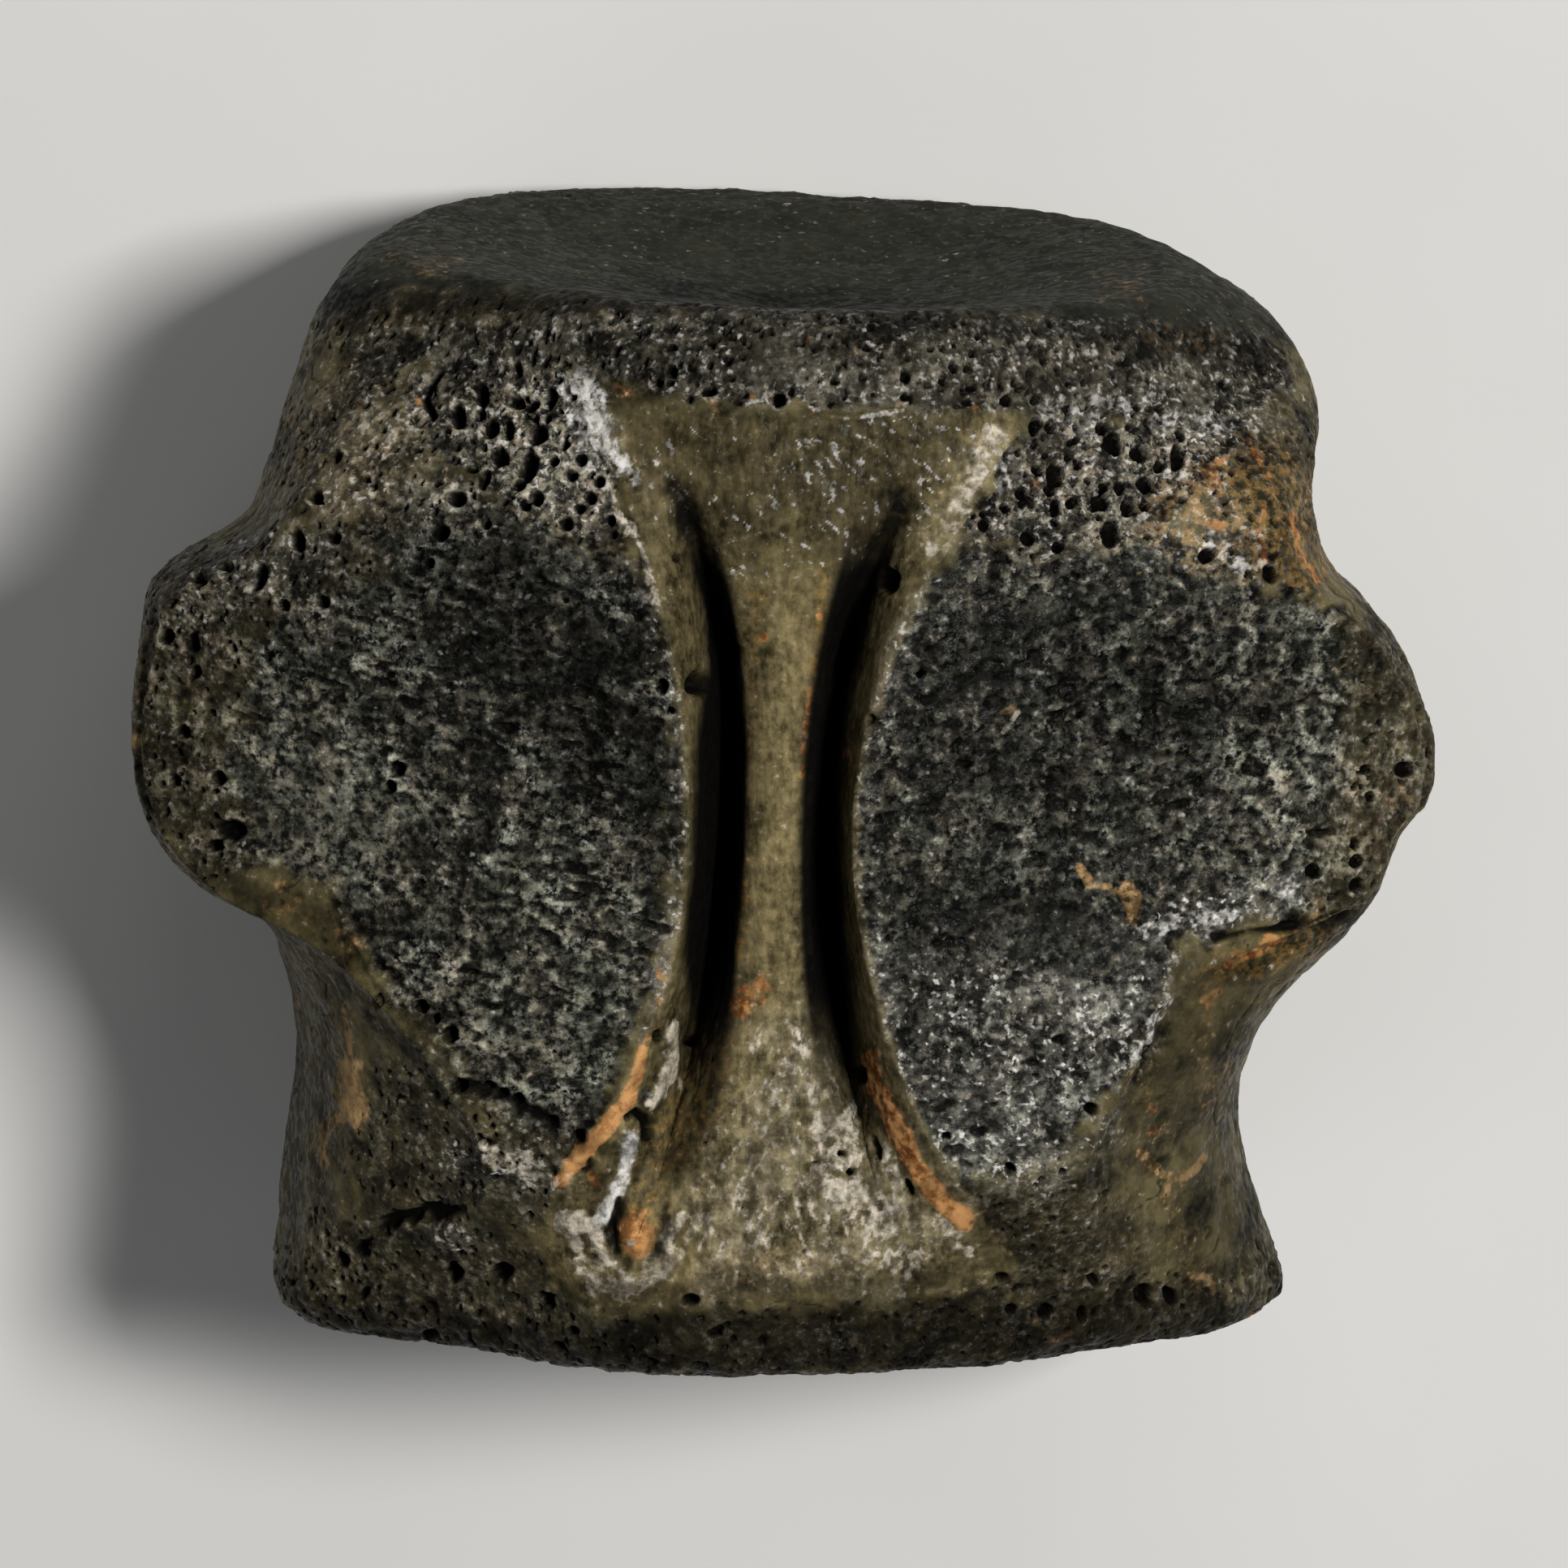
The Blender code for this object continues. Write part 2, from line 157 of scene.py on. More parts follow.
@dataclass(frozen=True)
class Lattice:
    """Seeded noise on a cubic lattice, read at any points in millimetres."""

    seed: int
    length: int = 4096
    gain: float = 1.6
    octave_shift: float = 17.3
    cell_numbers: int = 997

    def tables(self) -> tuple[Array, Array, Array]:
        """Draws the lattice.

        Returns:
            Its shuffled order, its slopes and its jitter.
        """
        draw = np.random.default_rng(self.seed)
        slopes = draw.normal(size=(self.length, 3))
        slopes /= np.linalg.norm(slopes, axis=1, keepdims=True)
        jitter = draw.random((self.length, 3))
        order = draw.permutation(self.length)
        return order, slopes.astype(np.float32), jitter.astype(np.float32)

    def _find(self, order: Array, corner: Array) -> Array:
        """Finds lattice corners in the tables.

        Args:
            order: The lattice's shuffled order.
            corner: The corners, as rows of whole numbers.

        Returns:
            The place of each corner in the tables.
        """
        last = self.length - 1
        found = order[corner[:, 0] & last]
        found = order[(found + corner[:, 1]) & last]
        return order[(found + corner[:, 2]) & last]

    def smooth(self, points: Array, size: float) -> Array:
        """Smooth noise between about -1 and 1.

        Args:
            points: The points, as rows of XYZ.
            size: The width of its swells.

        Returns:
            One value for each point.
        """
        order, slopes, _ = self.tables()
        place = (points / size).astype(np.float32)
        base = np.floor(place).astype(np.int64)
        part = place - base
        ease = part**3 * (part * (part * 6 - 15) + 10)
        total = np.zeros(len(points), np.float32)
        for corner in np.ndindex(2, 2, 2):
            step = np.array(corner)
            share = np.prod(np.where(step, ease, 1 - ease), axis=1)
            slope = slopes[self._find(order, base + step)]
            total += share * np.einsum("ij,ij->i", slope, part - step.astype(np.float32))
        return total * self.gain

    def fractal(self, points: Array, size: float, octaves: int) -> Array:
        """Noise whose finer and finer swells are each half as high as the last.

        Args:
            points: The points, as rows of XYZ.
            size: The width of its broadest swells.
            octaves: How many times the swells are halved.

        Returns:
            One value for each point.
        """
        total = np.zeros(len(points), np.float32)
        for octave in range(octaves):
            places = points + self.octave_shift * octave
            total += self.smooth(places, size / 2**octave) / 2**octave
        return total

    def cells(self, points: Array, size: float) -> tuple[Array, Array]:
        """Scattered cell centres.

        Args:
            points: The points, as rows of XYZ.
            size: The mean distance between centres.

        Returns:
            The distance to the nearest centre in millimetres, and that cell's own number
            from 0 to 1.
        """
        order, _, jitter = self.tables()
        place = (points / size).astype(np.float32)
        base = np.floor(place).astype(np.int64)
        part = place - base
        nearest = np.full(len(points), 9.0, np.float32)
        number = np.zeros(len(points), np.int64)
        for step in np.ndindex(3, 3, 3):
            shift = np.array(step) - 1
            found = self._find(order, base + shift)
            away = jitter[found] + shift.astype(np.float32) - part
            far = np.einsum("ij,ij->i", away, away)
            closer = far < nearest
            nearest = np.where(closer, far, nearest)
            number = np.where(closer, found, number)
        own = (number % self.cell_numbers) / self.cell_numbers
        return np.sqrt(nearest) * size, own


@dataclass(frozen=True)
class CanalLine:
    """A line of the canal's hourglass: its throat, and how it flares up and down Y."""

    throat: float
    middle: float
    rise_up: float
    power_up: float
    rise_down: float
    power_down: float

    def half_width(self, y: Array) -> Array:
        """How far the line lies from the bone's middle.

        Args:
            y: The places along the bone.

        Returns:
            The half width at each place.
        """
        away = y - self.middle
        up = self.rise_up * np.abs(away) ** self.power_up
        down = self.rise_down * np.abs(away) ** self.power_down
        return self.throat + np.where(away > 0, up, down)


@dataclass(frozen=True)
class Flank:
    """The sizes in which the bone's two sides differ."""

    side: Side
    waist: Knots
    outline: Knots
    shoulder: Knots
    wing_spread: float
    edge: CanalLine
    groove: CanalLine
    keel: CanalLine


LEFT_FLANK = Flank(
    side=Side.LEFT,
    waist=((-12.4, 11.8), (-9.0, 11.3), (-6.0, 10.9), (-2.5, 10.0), (1.0, 9.6), (5.0, 10.4),
           (8.2, 11.1), (10.0, 10.7), (11.8, 9.9)),
    outline=((-12.4, 11.8), (-9.0, 11.4), (-6.0, 11.0), (-4.1, 11.25), (-2.7, 11.8),
             (-2.0, 12.9), (-1.0, 13.9), (0.4, 14.5), (2.1, 14.6), (3.7, 14.4), (5.1, 13.9),
             (5.65, 13.0), (6.2, 12.15), (7.2, 11.6), (8.4, 11.2), (10.0, 10.75), (11.8, 9.9)),
    shoulder=((-12.4, 8.4), (-9.0, 6.9), (-7.4, 6.7), (-5.7, 7.4), (-3.9, 8.9), (-2.7, 10.6),
              (-2.0, 12.3), (-1.0, 13.5), (0.4, 14.15), (2.1, 14.3), (3.7, 14.1), (5.0, 13.6),
              (5.6, 12.6), (6.3, 11.5), (8.2, 10.0), (10.0, 9.0), (11.8, 7.5)),
    wing_spread=4.7,
    edge=CanalLine(2.15, 0.6, 0.0222, 2.08, 0.0272, 2.19),
    groove=CanalLine(1.27, 1.7, 0.0203, 2.20, 0.0215, 1.90),
    keel=CanalLine(0.72, 1.6, 0.0210, 2.15, 0.0085, 2.15),
)
RIGHT_FLANK = Flank(
    side=Side.RIGHT,
    waist=((-12.4, 11.5), (-9.0, 10.4), (-6.0, 10.2), (-2.5, 9.9), (1.0, 9.6), (5.0, 10.6),
           (8.4, 11.9), (10.0, 11.5), (11.8, 10.3)),
    outline=((-12.4, 11.5), (-9.0, 10.4), (-7.0, 10.5), (-5.4, 11.15), (-4.2, 11.95),
             (-3.2, 12.8), (-2.2, 13.25), (-0.6, 13.8), (0.0, 14.3), (1.2, 14.5), (2.5, 14.25),
             (3.8, 13.6), (4.7, 12.8), (5.4, 12.1), (6.7, 11.7), (8.6, 12.0), (10.0, 11.6),
             (11.8, 10.3)),
    shoulder=((-12.4, 8.4), (-9.0, 6.9), (-7.4, 6.7), (-6.4, 7.2), (-5.2, 7.8), (-3.9, 8.3),
              (-3.1, 9.5), (-2.4, 11.6), (-1.7, 12.9), (-0.6, 13.5), (0.1, 14.05),
              (1.2, 14.25), (2.5, 13.95), (3.8, 13.3), (4.7, 12.4), (5.5, 11.5), (7.0, 10.8),
              (9.0, 10.2), (11.8, 8.0)),
    wing_spread=5.5,
    edge=CanalLine(1.60, 0.5, 0.0788, 1.79, 0.0269, 2.10),
    groove=CanalLine(1.00, 0.0, 0.0125, 2.40, 0.0166, 2.00),
    keel=CanalLine(0.52, -0.8, 0.0105, 2.30, 0.0125, 2.20),
)


@dataclass(frozen=True)
class Spool:
    """The bone's shape before any grain or wear, from the same sizes as the solid."""

    end_low: float = -12.45
    end_high: float = 11.85
    axis_depth: float = 9.6
    belly_depth: float = 19.0
    belly_arch: float = 1.9
    belly_arch_ends: Span = (-9.6, 9.6)
    worn_flat: float = 0.4
    rim_round_low: float = 1.15
    rim_round_high: float = 1.6
    face_lean: float = 0.040
    face_skew: float = 0.040
    face_lean_from: float = 4.0
    face_dish: float = 0.95
    face_dimple: float = 0.35
    wing_middle: float = 1.8
    wing_edge_depth: float = 5.3
    wing_thick: float = 2.3
    wing_tuck: float = 0.55
    waist_drop: float = 0.7
    outline_depth: float = 8.2
    outline_thick: float = 0.6
    bulge_out: float = 0.70
    bulge_down: float = 0.42
    tuck_in: float = 0.28
    tuck_down: float = 0.62
    belly_power_low: float = 2.35
    belly_power_high: float = 2.4
    belly_turns: tuple[float, ...] = (0.22, 0.44, 0.64, 0.82, 1.0)
    crown_facets: float = 26.0
    crown_ends: float = 11.8
    crown_fall: float = 0.9
    crown_turn_high: Span = (5.0, 11.0)
    crown_turn_low: Span = (6.0, 11.5)
    facet_lip: float = 0.32
    facet_lip_ends: Span = (-9.5, 8.5)
    edge_lip: float = 0.08
    facet_hollow: float = 0.28
    hollow_place: Span = (7.5, 0.5)
    hollow_spread: Span = (3.2, 3.6)
    edge_most: float = 5.2
    wall_least: float = 0.35
    slope_least: float = 0.30
    canal_middle: float = -0.3
    canal_ends: Span = (-10.3, 9.7)
    groove_ends: Span = (-8.4, 7.9)
    keel_depth: float = 1.45
    keel_crown: float = 0.22
    groove_depth: float = 2.2
    wall_round: float = 1.9
    keel_round: float = 2.2
    swells: tuple[tuple[float, Vector3, float], ...] = (
        (0.10, (0.610, 0.240, 0.350), 0.4), (0.08, (-0.330, 0.700, 0.280), 2.1),
        (0.07, (0.420, -0.510, 0.760), 4.0), (0.05, (0.980, 0.830, -0.620), 1.3))
    swell_fade: float = 3.0

    def canal_lines(self, y: Array, flank: Flank) -> tuple[Array, ...]:
        """The canal's lines on one side.

        Args:
            y: The places along the bone.
            flank: The side.

        Returns:
            The half widths of its edge, its groove and its keel.
        """
        edge = np.minimum(flank.edge.half_width(y), self.edge_most)
        groove = np.minimum(flank.groove.half_width(y), edge - self.wall_least)
        keel = np.minimum(flank.keel.half_width(y), groove - self.slope_least)
        return edge, groove, keel

    def crown_height(self, x: Array, y: Array) -> Array:
        """The height of the upper side before the canal is cut in it.

        Args:
            x: The half widths.
            y: The places along the bone.

        Returns:
            The heights, which are 0 along the facets' crest.
        """
        toward_end = np.maximum(eased(y, *self.crown_turn_high),
                                eased(-y, *self.crown_turn_low))
        radius = mix(self.crown_facets, self.crown_ends, toward_end)
        sag = radius - np.sqrt(np.maximum(radius**2 - x**2, 0.0))
        across = (np.abs(x) - self.hollow_place[0]) / self.hollow_spread[0]
        lengthwise = (y - self.hollow_place[1]) / self.hollow_spread[1]
        hollow = self.facet_hollow * np.exp(-across**2 - lengthwise**2)
        return -self.crown_fall * toward_end - sag - hollow

    def canal_drop(self, x: Array, y: Array, flank: Flank) -> Array:
        """How far the canal lies below the crown.

        Args:
            x: The half width on this side.
            y: The place along the bone.
            flank: The side.

        Returns:
            The drop, which is 0 outside the canal.
        """
        edge, groove, keel = self.canal_lines(y, flank)
        floor = bell(y, self.canal_middle, self.canal_ends)
        keel_top = self.keel_depth * floor
        keel_side = keel_top + self.keel_crown * floor
        bottom = keel_side + self.groove_depth * bell(y, self.canal_middle, self.groove_ends)
        wall = np.clip((x - groove) / (edge - groove), 0.0, 1.0)
        slope = np.clip((groove - x) / (groove - keel), 0.0, 1.0)
        on_keel = mix(keel_top, keel_side, np.clip(x / keel, 0.0, 1.0) ** 2)
        on_slope = mix(bottom, keel_side, 1.0 - (1.0 - slope) ** self.keel_round)
        on_wall = bottom * (1.0 - wall) ** self.wall_round
        return np.where(x <= keel, on_keel, np.where(x <= groove, on_slope, on_wall))

    def half_section(self, y: Array, flank: Flank, steps: int) -> Array:
        """Half of each cross-section, from the keel's crest to the middle of the belly.

        Args:
            y: The places of the sections.
            flank: The side.
            steps: How many points each run of the section gets.

        Returns:
            Rows of (half width, height) points, one row for each section.
        """
        edge, groove, keel = self.canal_lines(y, flank)
        shoulder = along(y, flank.shoulder)
        lines = [np.zeros_like(y), keel, groove, edge, mix(edge, shoulder, 0.5), shoulder]
        share = np.arange(steps) / steps
        x = np.concatenate([mix(a[:, None], b[:, None], share)
                            for a, b in zip(lines[:-1], lines[1:])], axis=1)
        rows = y[:, None]
        height = self.crown_height(x, rows) - self.canal_drop(x, rows, flank)
        upper = np.stack([x, height], axis=2)
        return np.concatenate([upper, self.curve(self.flank_guides(y, flank), steps)], axis=1)

    def flank_guides(self, y: Array, flank: Flank) -> Array:
        """Guide points down one flank, from the shoulder to the middle of the belly.

        Args:
            y: The places of the sections.
            flank: The side.

        Returns:
            A row of (half width, height) points for each section.
        """
        share = np.exp(-np.abs((y - self.wing_middle) / flank.wing_spread) ** 3)
        shoulder = along(y, flank.shoulder)
        outline = along(y, flank.outline)
        waist = along(y, flank.waist)
        crest = self.crown_height(shoulder, y)
        widest = -mix(self.outline_depth, self.wing_edge_depth, share)
        under = widest - mix(self.outline_thick, self.wing_thick, share)
        middle = -self.axis_depth - self.waist_drop * share
        belly = -self.belly_depth + self.belly_arch * bell(y, 0.0, self.belly_arch_ends)
        lip = self.edge_lip + self.facet_lip * bell(y, 0.0, self.facet_lip_ends)
        guides = [
            (shoulder, crest),
            (shoulder + self.edge_lip, crest - lip),
            (mix(shoulder, outline, self.bulge_out), mix(crest, widest, self.bulge_down)),
            (outline, widest),
            (outline - self.wing_tuck * share, under),
            (mix(waist, outline, self.tuck_in), mix(under, middle, self.tuck_down)),
            (waist, middle),
        ]
        high = eased(y, 0.0, self.end_high)
        power = 2.0 / mix(self.belly_power_low, self.belly_power_high, high)
        for turn in self.belly_turns:
            across = max(math.cos(turn * math.pi / 2), 0.0) ** power
            down = math.sin(turn * math.pi / 2) ** power
            guides.append((waist * across, mix(middle, belly, down)))
        return np.stack([np.stack(guide, axis=1) for guide in guides], axis=1)

    def curve(self, guides: Array, steps: int) -> Array:
        """A centripetal curve through each row of guide points.

        Args:
            guides: Rows of guide points.
            steps: How many points each span gets.

        Returns:
            Rows of points along the curves, with the last guide point.
        """
        before = 2 * guides[:, :1] - guides[:, 1:2]
        after = guides[:, -2:-1] * (-1, 1)
        p = np.concatenate([before, guides, after], axis=1)
        gaps = np.linalg.norm(np.diff(p, axis=1), axis=2, keepdims=True)
        gaps = np.maximum(gaps, 1e-3) ** 0.5
        a, b, c, d = p[:, :-3], p[:, 1:-2], p[:, 2:-1], p[:, 3:]
        ab, bc, cd = gaps[:, :-2], gaps[:, 1:-1], gaps[:, 2:]
        leave = bc * ((b - a) / ab - (c - a) / (ab + bc)) + (c - b)
        arrive = bc * ((d - c) / cd - (d - b) / (bc + cd)) + (c - b)
        spans = []
        for t in np.arange(steps) / steps:
            point = mix(b, c, 3 * t**2 - 2 * t**3)
            spans.append(point + (t**3 - 2 * t**2 + t) * leave + (t**3 - t**2) * arrive)
        curve = np.stack(spans, axis=2).reshape(len(guides), -1, 2)
        return np.concatenate([curve, guides[:, -1:]], axis=1)

    def weathered(self, points: Array) -> Array:
        """Pushes points in or out by slow waves, and turns the +Y face.

        Args:
            points: The points, with XYZ along the last axis.

        Returns:
            The moved points.
        """
        out = points * (1.0, 0.0, 1.0) + (0.0, 0.0, self.axis_depth)
        far = np.linalg.norm(out, axis=-1, keepdims=True)
        height = np.zeros(far.shape)
        for size, waves, start in self.swells:
            height += size * np.sin(points @ np.array(waves) + start)[..., None]
        fade = np.clip(far / self.swell_fade, 0.0, 1.0)
        moved = points + out / np.maximum(far, 1.0) * height * fade
        turned = self.face_lean * out[..., 2] + self.face_skew * out[..., 0]
        moved[..., 1] -= turned * eased(points[..., 1], self.face_lean_from, self.end_high)
        return moved


@dataclass(frozen=True)
class Weave:
    """How finely the skin is divided."""

    body_rows: int = 500
    rim_rows: int = 28
    face_rows: int = 84
    half_columns: int = 520
    run_steps: int = 40
    lower_share: float = 0.46
    lower_from: Span = (0.46, 0.60)
    fine_steps: int = 2000

    def half_places(self) -> Array:
        """Spreads the columns along half a section, closer together on top.

        Returns:
            The place of each column, from 0 to 1.
        """
        fine = np.linspace(0.0, 1.0, self.fine_steps + 1)
        weight = mix(1.0, self.lower_share, eased(fine, *self.lower_from))
        run = np.concatenate([[0.0], np.cumsum((weight[1:] + weight[:-1]) / 2)])
        return np.interp(np.linspace(0.0, run[-1], self.half_columns + 1), run, fine)


@dataclass(frozen=True)
class PhotoView:
    """The photograph's view of the bone: where each point of it is seen."""

    middle: float = 966.0
    pixels_per_mm: float = 56.0
    zero: Span = (965.0, 1045.0)
    tilt: float = math.radians(10.5)
    distance: float = 250.0
    sensor: float = 36.0

    def aim(self) -> Span:
        """What the view's middle looks at, across and up the picture."""
        return ((self.middle - self.zero[0]) / self.pixels_per_mm,
                (self.zero[1] - self.middle) / self.pixels_per_mm)

    def toward_camera(self) -> Array:
        """The direction from the bone to the camera."""
        return np.array([0.0, math.sin(self.tilt), math.cos(self.tilt)])

    def up(self) -> Array:
        """The picture's upward direction."""
        return np.array([0.0, math.cos(self.tilt), -math.sin(self.tilt)])

    def pixels(self, points: Array) -> Array:
        """Where points are seen.

        Args:
            points: The points, as rows of XYZ.

        Returns:
            Rows of pixels across and down the photograph.
        """
        across, up = self.aim()
        scale = self.distance / (self.distance - points @ self.toward_camera())
        x = across + (points[:, 0] - across) * scale
        y = up + (points @ self.up() - up) * scale
        return np.stack([self.zero[0] + self.pixels_per_mm * x,
                         self.zero[1] - self.pixels_per_mm * y], axis=1)


PHOTO = PhotoView()


@dataclass
class Surface:
    """The skin's points: rows along the bone, columns round it, and a pole at each end."""

    grid: Array
    poles: Array
    face_rows: int
    points: Array = field(init=False)
    normals: Array = field(init=False)
    seen: Array = field(init=False)
    lit: Array = field(init=False)
    drift: Array = field(init=False)

    def __post_init__(self) -> None:
        """Works out the normals, how the photograph sees each point, and a slow drift."""
        self.points = self.grid.reshape(-1, 3)
        self.normals = self.facing_of(self.grid).reshape(-1, 3)
        self.seen = PHOTO.pixels(self.points)
        self.lit = eased(self.normals @ PHOTO.toward_camera(), 0.0, 0.12)
        self.drift = Lattice(11).fractal(self.points, 0.9, 3)
        self.drift += 0.45 * Lattice(12).fractal(self.points, 0.30, 2)

    def facing_of(self, grid: Array) -> Array:
        """Which way each point of a grid faces.

        Args:
            grid: Rows and columns of points.

        Returns:
            The outward directions, one unit long.
        """
        around = np.roll(grid, -1, axis=1) - np.roll(grid, 1, axis=1)
        normals = np.cross(around, np.gradient(grid, axis=0))
        return normals / np.maximum(np.linalg.norm(normals, axis=2, keepdims=True), 1e-12)

    def near(self, path: Pixels, reach: float) -> Array:
        """Finds the points that the photograph shows close to a path.

        Args:
            path: The path's corners, as pixels.
            reach: How far from the path's box they may lie, in pixels.

        Returns:
            Whether each point is one of them.
        """
        corners = np.array(path, float).reshape(-1, 2)
        low = corners.min(axis=0) - reach
        high = corners.max(axis=0) + reach
        return np.all((self.seen > low) & (self.seen < high), axis=1) & (self.lit > 0.0)

    def spread(self, near: Array, share: Array) -> Array:
        """Carries shares of some points over to all points.

        Args:
            near: Which points have a share.
            share: Their shares, before what the photograph hides is taken off.

        Returns:
            A share for each point, 0 for the rest.
        """
        found = np.zeros(len(self.seen))
        found[near] = share * self.lit[near]
        return found

    def smoothed(self, values: Array, times: int) -> Array:
        """Averages values with their neighbours on the grid.

        Args:
            values: One value for each point.
            times: How many times they are averaged.

        Returns:
            The smoothed values.
        """
        sheet = values.reshape(self.grid.shape[:2])
        for _ in range(times):
            for step in (1, 2):
                beside = np.roll(sheet, step, axis=1) + np.roll(sheet, -step, axis=1)
                sheet = (beside + 2 * sheet) / 4
            above = np.concatenate([sheet[:1], sheet[:-1]])
            below = np.concatenate([sheet[1:], sheet[-1:]])
            sheet = (above + 2 * sheet + below) / 4
        return sheet.ravel()


def surface_of(spool: Spool, weave: Weave) -> Surface:
    """The bone's bare surface as a fine grid.

    Args:
        spool: The shape.
        weave: How finely it is divided.

    Returns:
        The surface, with no relief yet.
    """
    turn = np.arange(1, weave.rim_rows + 1) / weave.rim_rows * math.pi / 2
    low = spool.end_low + spool.rim_round_low * (1 - np.sin(turn))
    high = spool.end_high - spool.rim_round_high * (1 - np.sin(turn))
    body = np.linspace(spool.end_low + spool.rim_round_low,
                       spool.end_high - spool.rim_round_high, weave.body_rows)
    y = np.concatenate([low[::-1], body, high])
    inset = np.concatenate([spool.rim_round_low * (1 - np.cos(turn))[::-1],
                            np.zeros(weave.body_rows),
                            spool.rim_round_high * (1 - np.cos(turn))])
    places = weave.half_places()
    halves = []
    for flank in (RIGHT_FLANK, LEFT_FLANK):
        section = spool.half_section(y, flank, weave.run_steps)
        run = np.cumsum(np.linalg.norm(np.diff(section, axis=1), axis=2), axis=1)
        run = np.concatenate([np.zeros((len(y), 1)), run], axis=1)
        half = np.empty((len(y), len(places), 2))
        for row, length, line in zip(half, run, section):
            row[:, 0] = flank.side.value * np.interp(places * length[-1], length, line[:, 0])
            row[:, 1] = np.interp(places * length[-1], length, line[:, 1])
        halves.append(half)
    section = np.concatenate([halves[0], halves[1][:, -2:0:-1]], axis=1)
    out = section + (0.0, spool.axis_depth)
    out /= np.linalg.norm(out, axis=2, keepdims=True)
    section = section - out * inset[:, None, None]
    lengthwise = np.broadcast_to(y[:, None], section.shape[:2])
    rings = np.stack([section[..., 0], lengthwise, section[..., 1]], axis=2)
    ends = []
    poles = []
    for rim, inward in ((rings[0], 1.0), (rings[-1], -1.0)):
        centre = np.array([0.0, rim[0, 1], -spool.axis_depth])
        share = (np.arange(1, weave.face_rows) / weave.face_rows)[:, None, None]
        face = mix(rim, centre, share)
        dish = spool.face_dish * eased(share, -0.05, 0.75)
        face[..., 1:2] += inward * (dish + spool.face_dimple * eased(share, 0.7, 1.0))
        centre[1] += inward * (spool.face_dish + spool.face_dimple)
        ends.append(face)
        poles.append(centre)
    grid = np.concatenate([ends[0][::-1], rings, ends[1]])
    return Surface(spool.weathered(grid), spool.weathered(np.array(poles)), weave.face_rows)


def gap_to_line(seen: Array, line: Pixels, closed: bool) -> Array:
    """How far seen points lie from a line drawn on the photograph.

    Args:
        seen: The points, as pixels.
        line: The line's corners, as pixels.
        closed: Whether the line returns to its start, and so has an inside.

    Returns:
        The distance in pixels, negative inside a closed line.
    """
    corners = np.array(line, float).reshape(-1, 2)
    starts = corners if closed else corners[:-1]
    ends = np.roll(corners, -1, axis=0) if closed else corners[1:]
    nearest = np.full(len(seen), 1e9)
    inside = np.zeros(len(seen), bool)
    for a, b in zip(starts, ends):
        run = b - a
        away = seen - a
        share = np.clip(away @ run / (run @ run), 0.0, 1.0)
        nearest = np.minimum(nearest, np.linalg.norm(away - share[:, None] * run, axis=1))
        if closed and a[1] != b[1]:
            between = (a[1] > seen[:, 1]) != (b[1] > seen[:, 1])
            crossing = a[0] + (seen[:, 1] - a[1]) / (b[1] - a[1]) * run[0]
            inside ^= between & (seen[:, 0] < crossing)
    return np.where(inside, -nearest, nearest)


@dataclass(frozen=True)
class Patch:
    """A patch of the surface, outlined on the photograph with a soft, wandering border."""

    outline: Pixels
    soft: float = 9.0
    wander: float = 16.0

    def share(self, surface: Surface) -> Array:
        """Lays the mark on the surface.

        Args:
            surface: The bone's surface.

        Returns:
            How far each point belongs to the patch, from 0 to 1.
        """
        near = surface.near(self.outline, self.soft + 3 * self.wander)
        gap = gap_to_line(surface.seen[near], self.outline, closed=True)
        gap += self.wander * surface.drift[near]
        return surface.spread(near, 1.0 - eased(gap, -self.soft, self.soft))


@dataclass(frozen=True)
class Stroke:
    """A narrow band along a line drawn on the photograph, half_width in millimetres."""

    path: Pixels
    half_width: float
    soft: float = 0.6
    wander: float = 0.3

    def share(self, surface: Surface) -> Array:
        """Lays the mark on the surface.

        Args:
            surface: The bone's surface.

        Returns:
            How far each point belongs to the band, 1 along its middle.
        """
        half = self.half_width * PHOTO.pixels_per_mm
        near = surface.near(self.path, half * (1 + 3 * self.wander))
        gap = gap_to_line(surface.seen[near], self.path, closed=False) / half
        gap += self.wander * surface.drift[near]
        return surface.spread(near, 1.0 - eased(gap, 1.0 - self.soft, 1.0))


@dataclass(frozen=True)
class Spot:
    """A round or oval place on the photograph, its half size in millimetres."""

    x: float
    y: float
    half: float
    stretch: float = 1.0
    turn: float = 0.0
    soft: float = 0.6
    wander: float = 0.2

    def share(self, surface: Surface) -> Array:
        """Lays the mark on the surface.

        Args:
            surface: The bone's surface.

        Returns:
            How far each point belongs to the spot, 1 in its middle.
        """
        half = self.half * PHOTO.pixels_per_mm
        reach = half * max(self.stretch, 1.0) * (1 + 3 * self.wander)
        near = surface.near((self.x, self.y), reach)
        away = (surface.seen[near] - (self.x, self.y)) / half
        turn = math.radians(self.turn)
        across = away[:, 0] * math.cos(turn) + away[:, 1] * math.sin(turn)
        down = (away[:, 1] * math.cos(turn) - away[:, 0] * math.sin(turn)) / self.stretch
        gap = np.hypot(across, down) + self.wander * surface.drift[near]
        return surface.spread(near, 1.0 - eased(gap, 1.0 - self.soft, 1.0))


def drawn_out(points: Array, stretch: Vector3, turn: float) -> Array:
    """Points turned about Z and pressed together, which draws out noise read at them.

    Args:
        points: The points, as rows of XYZ.
        stretch: How many times as long the noise becomes along each axis.
        turn: The direction of the first axis, in degrees from +X.

    Returns:
        The places at which to read the noise.
    """
    turn = math.radians(turn)
    turned = points.copy()
    turned[:, 0] = points[:, 0] * math.cos(turn) + points[:, 1] * math.sin(turn)
    turned[:, 1] = points[:, 1] * math.cos(turn) - points[:, 0] * math.sin(turn)
    return turned / stretch


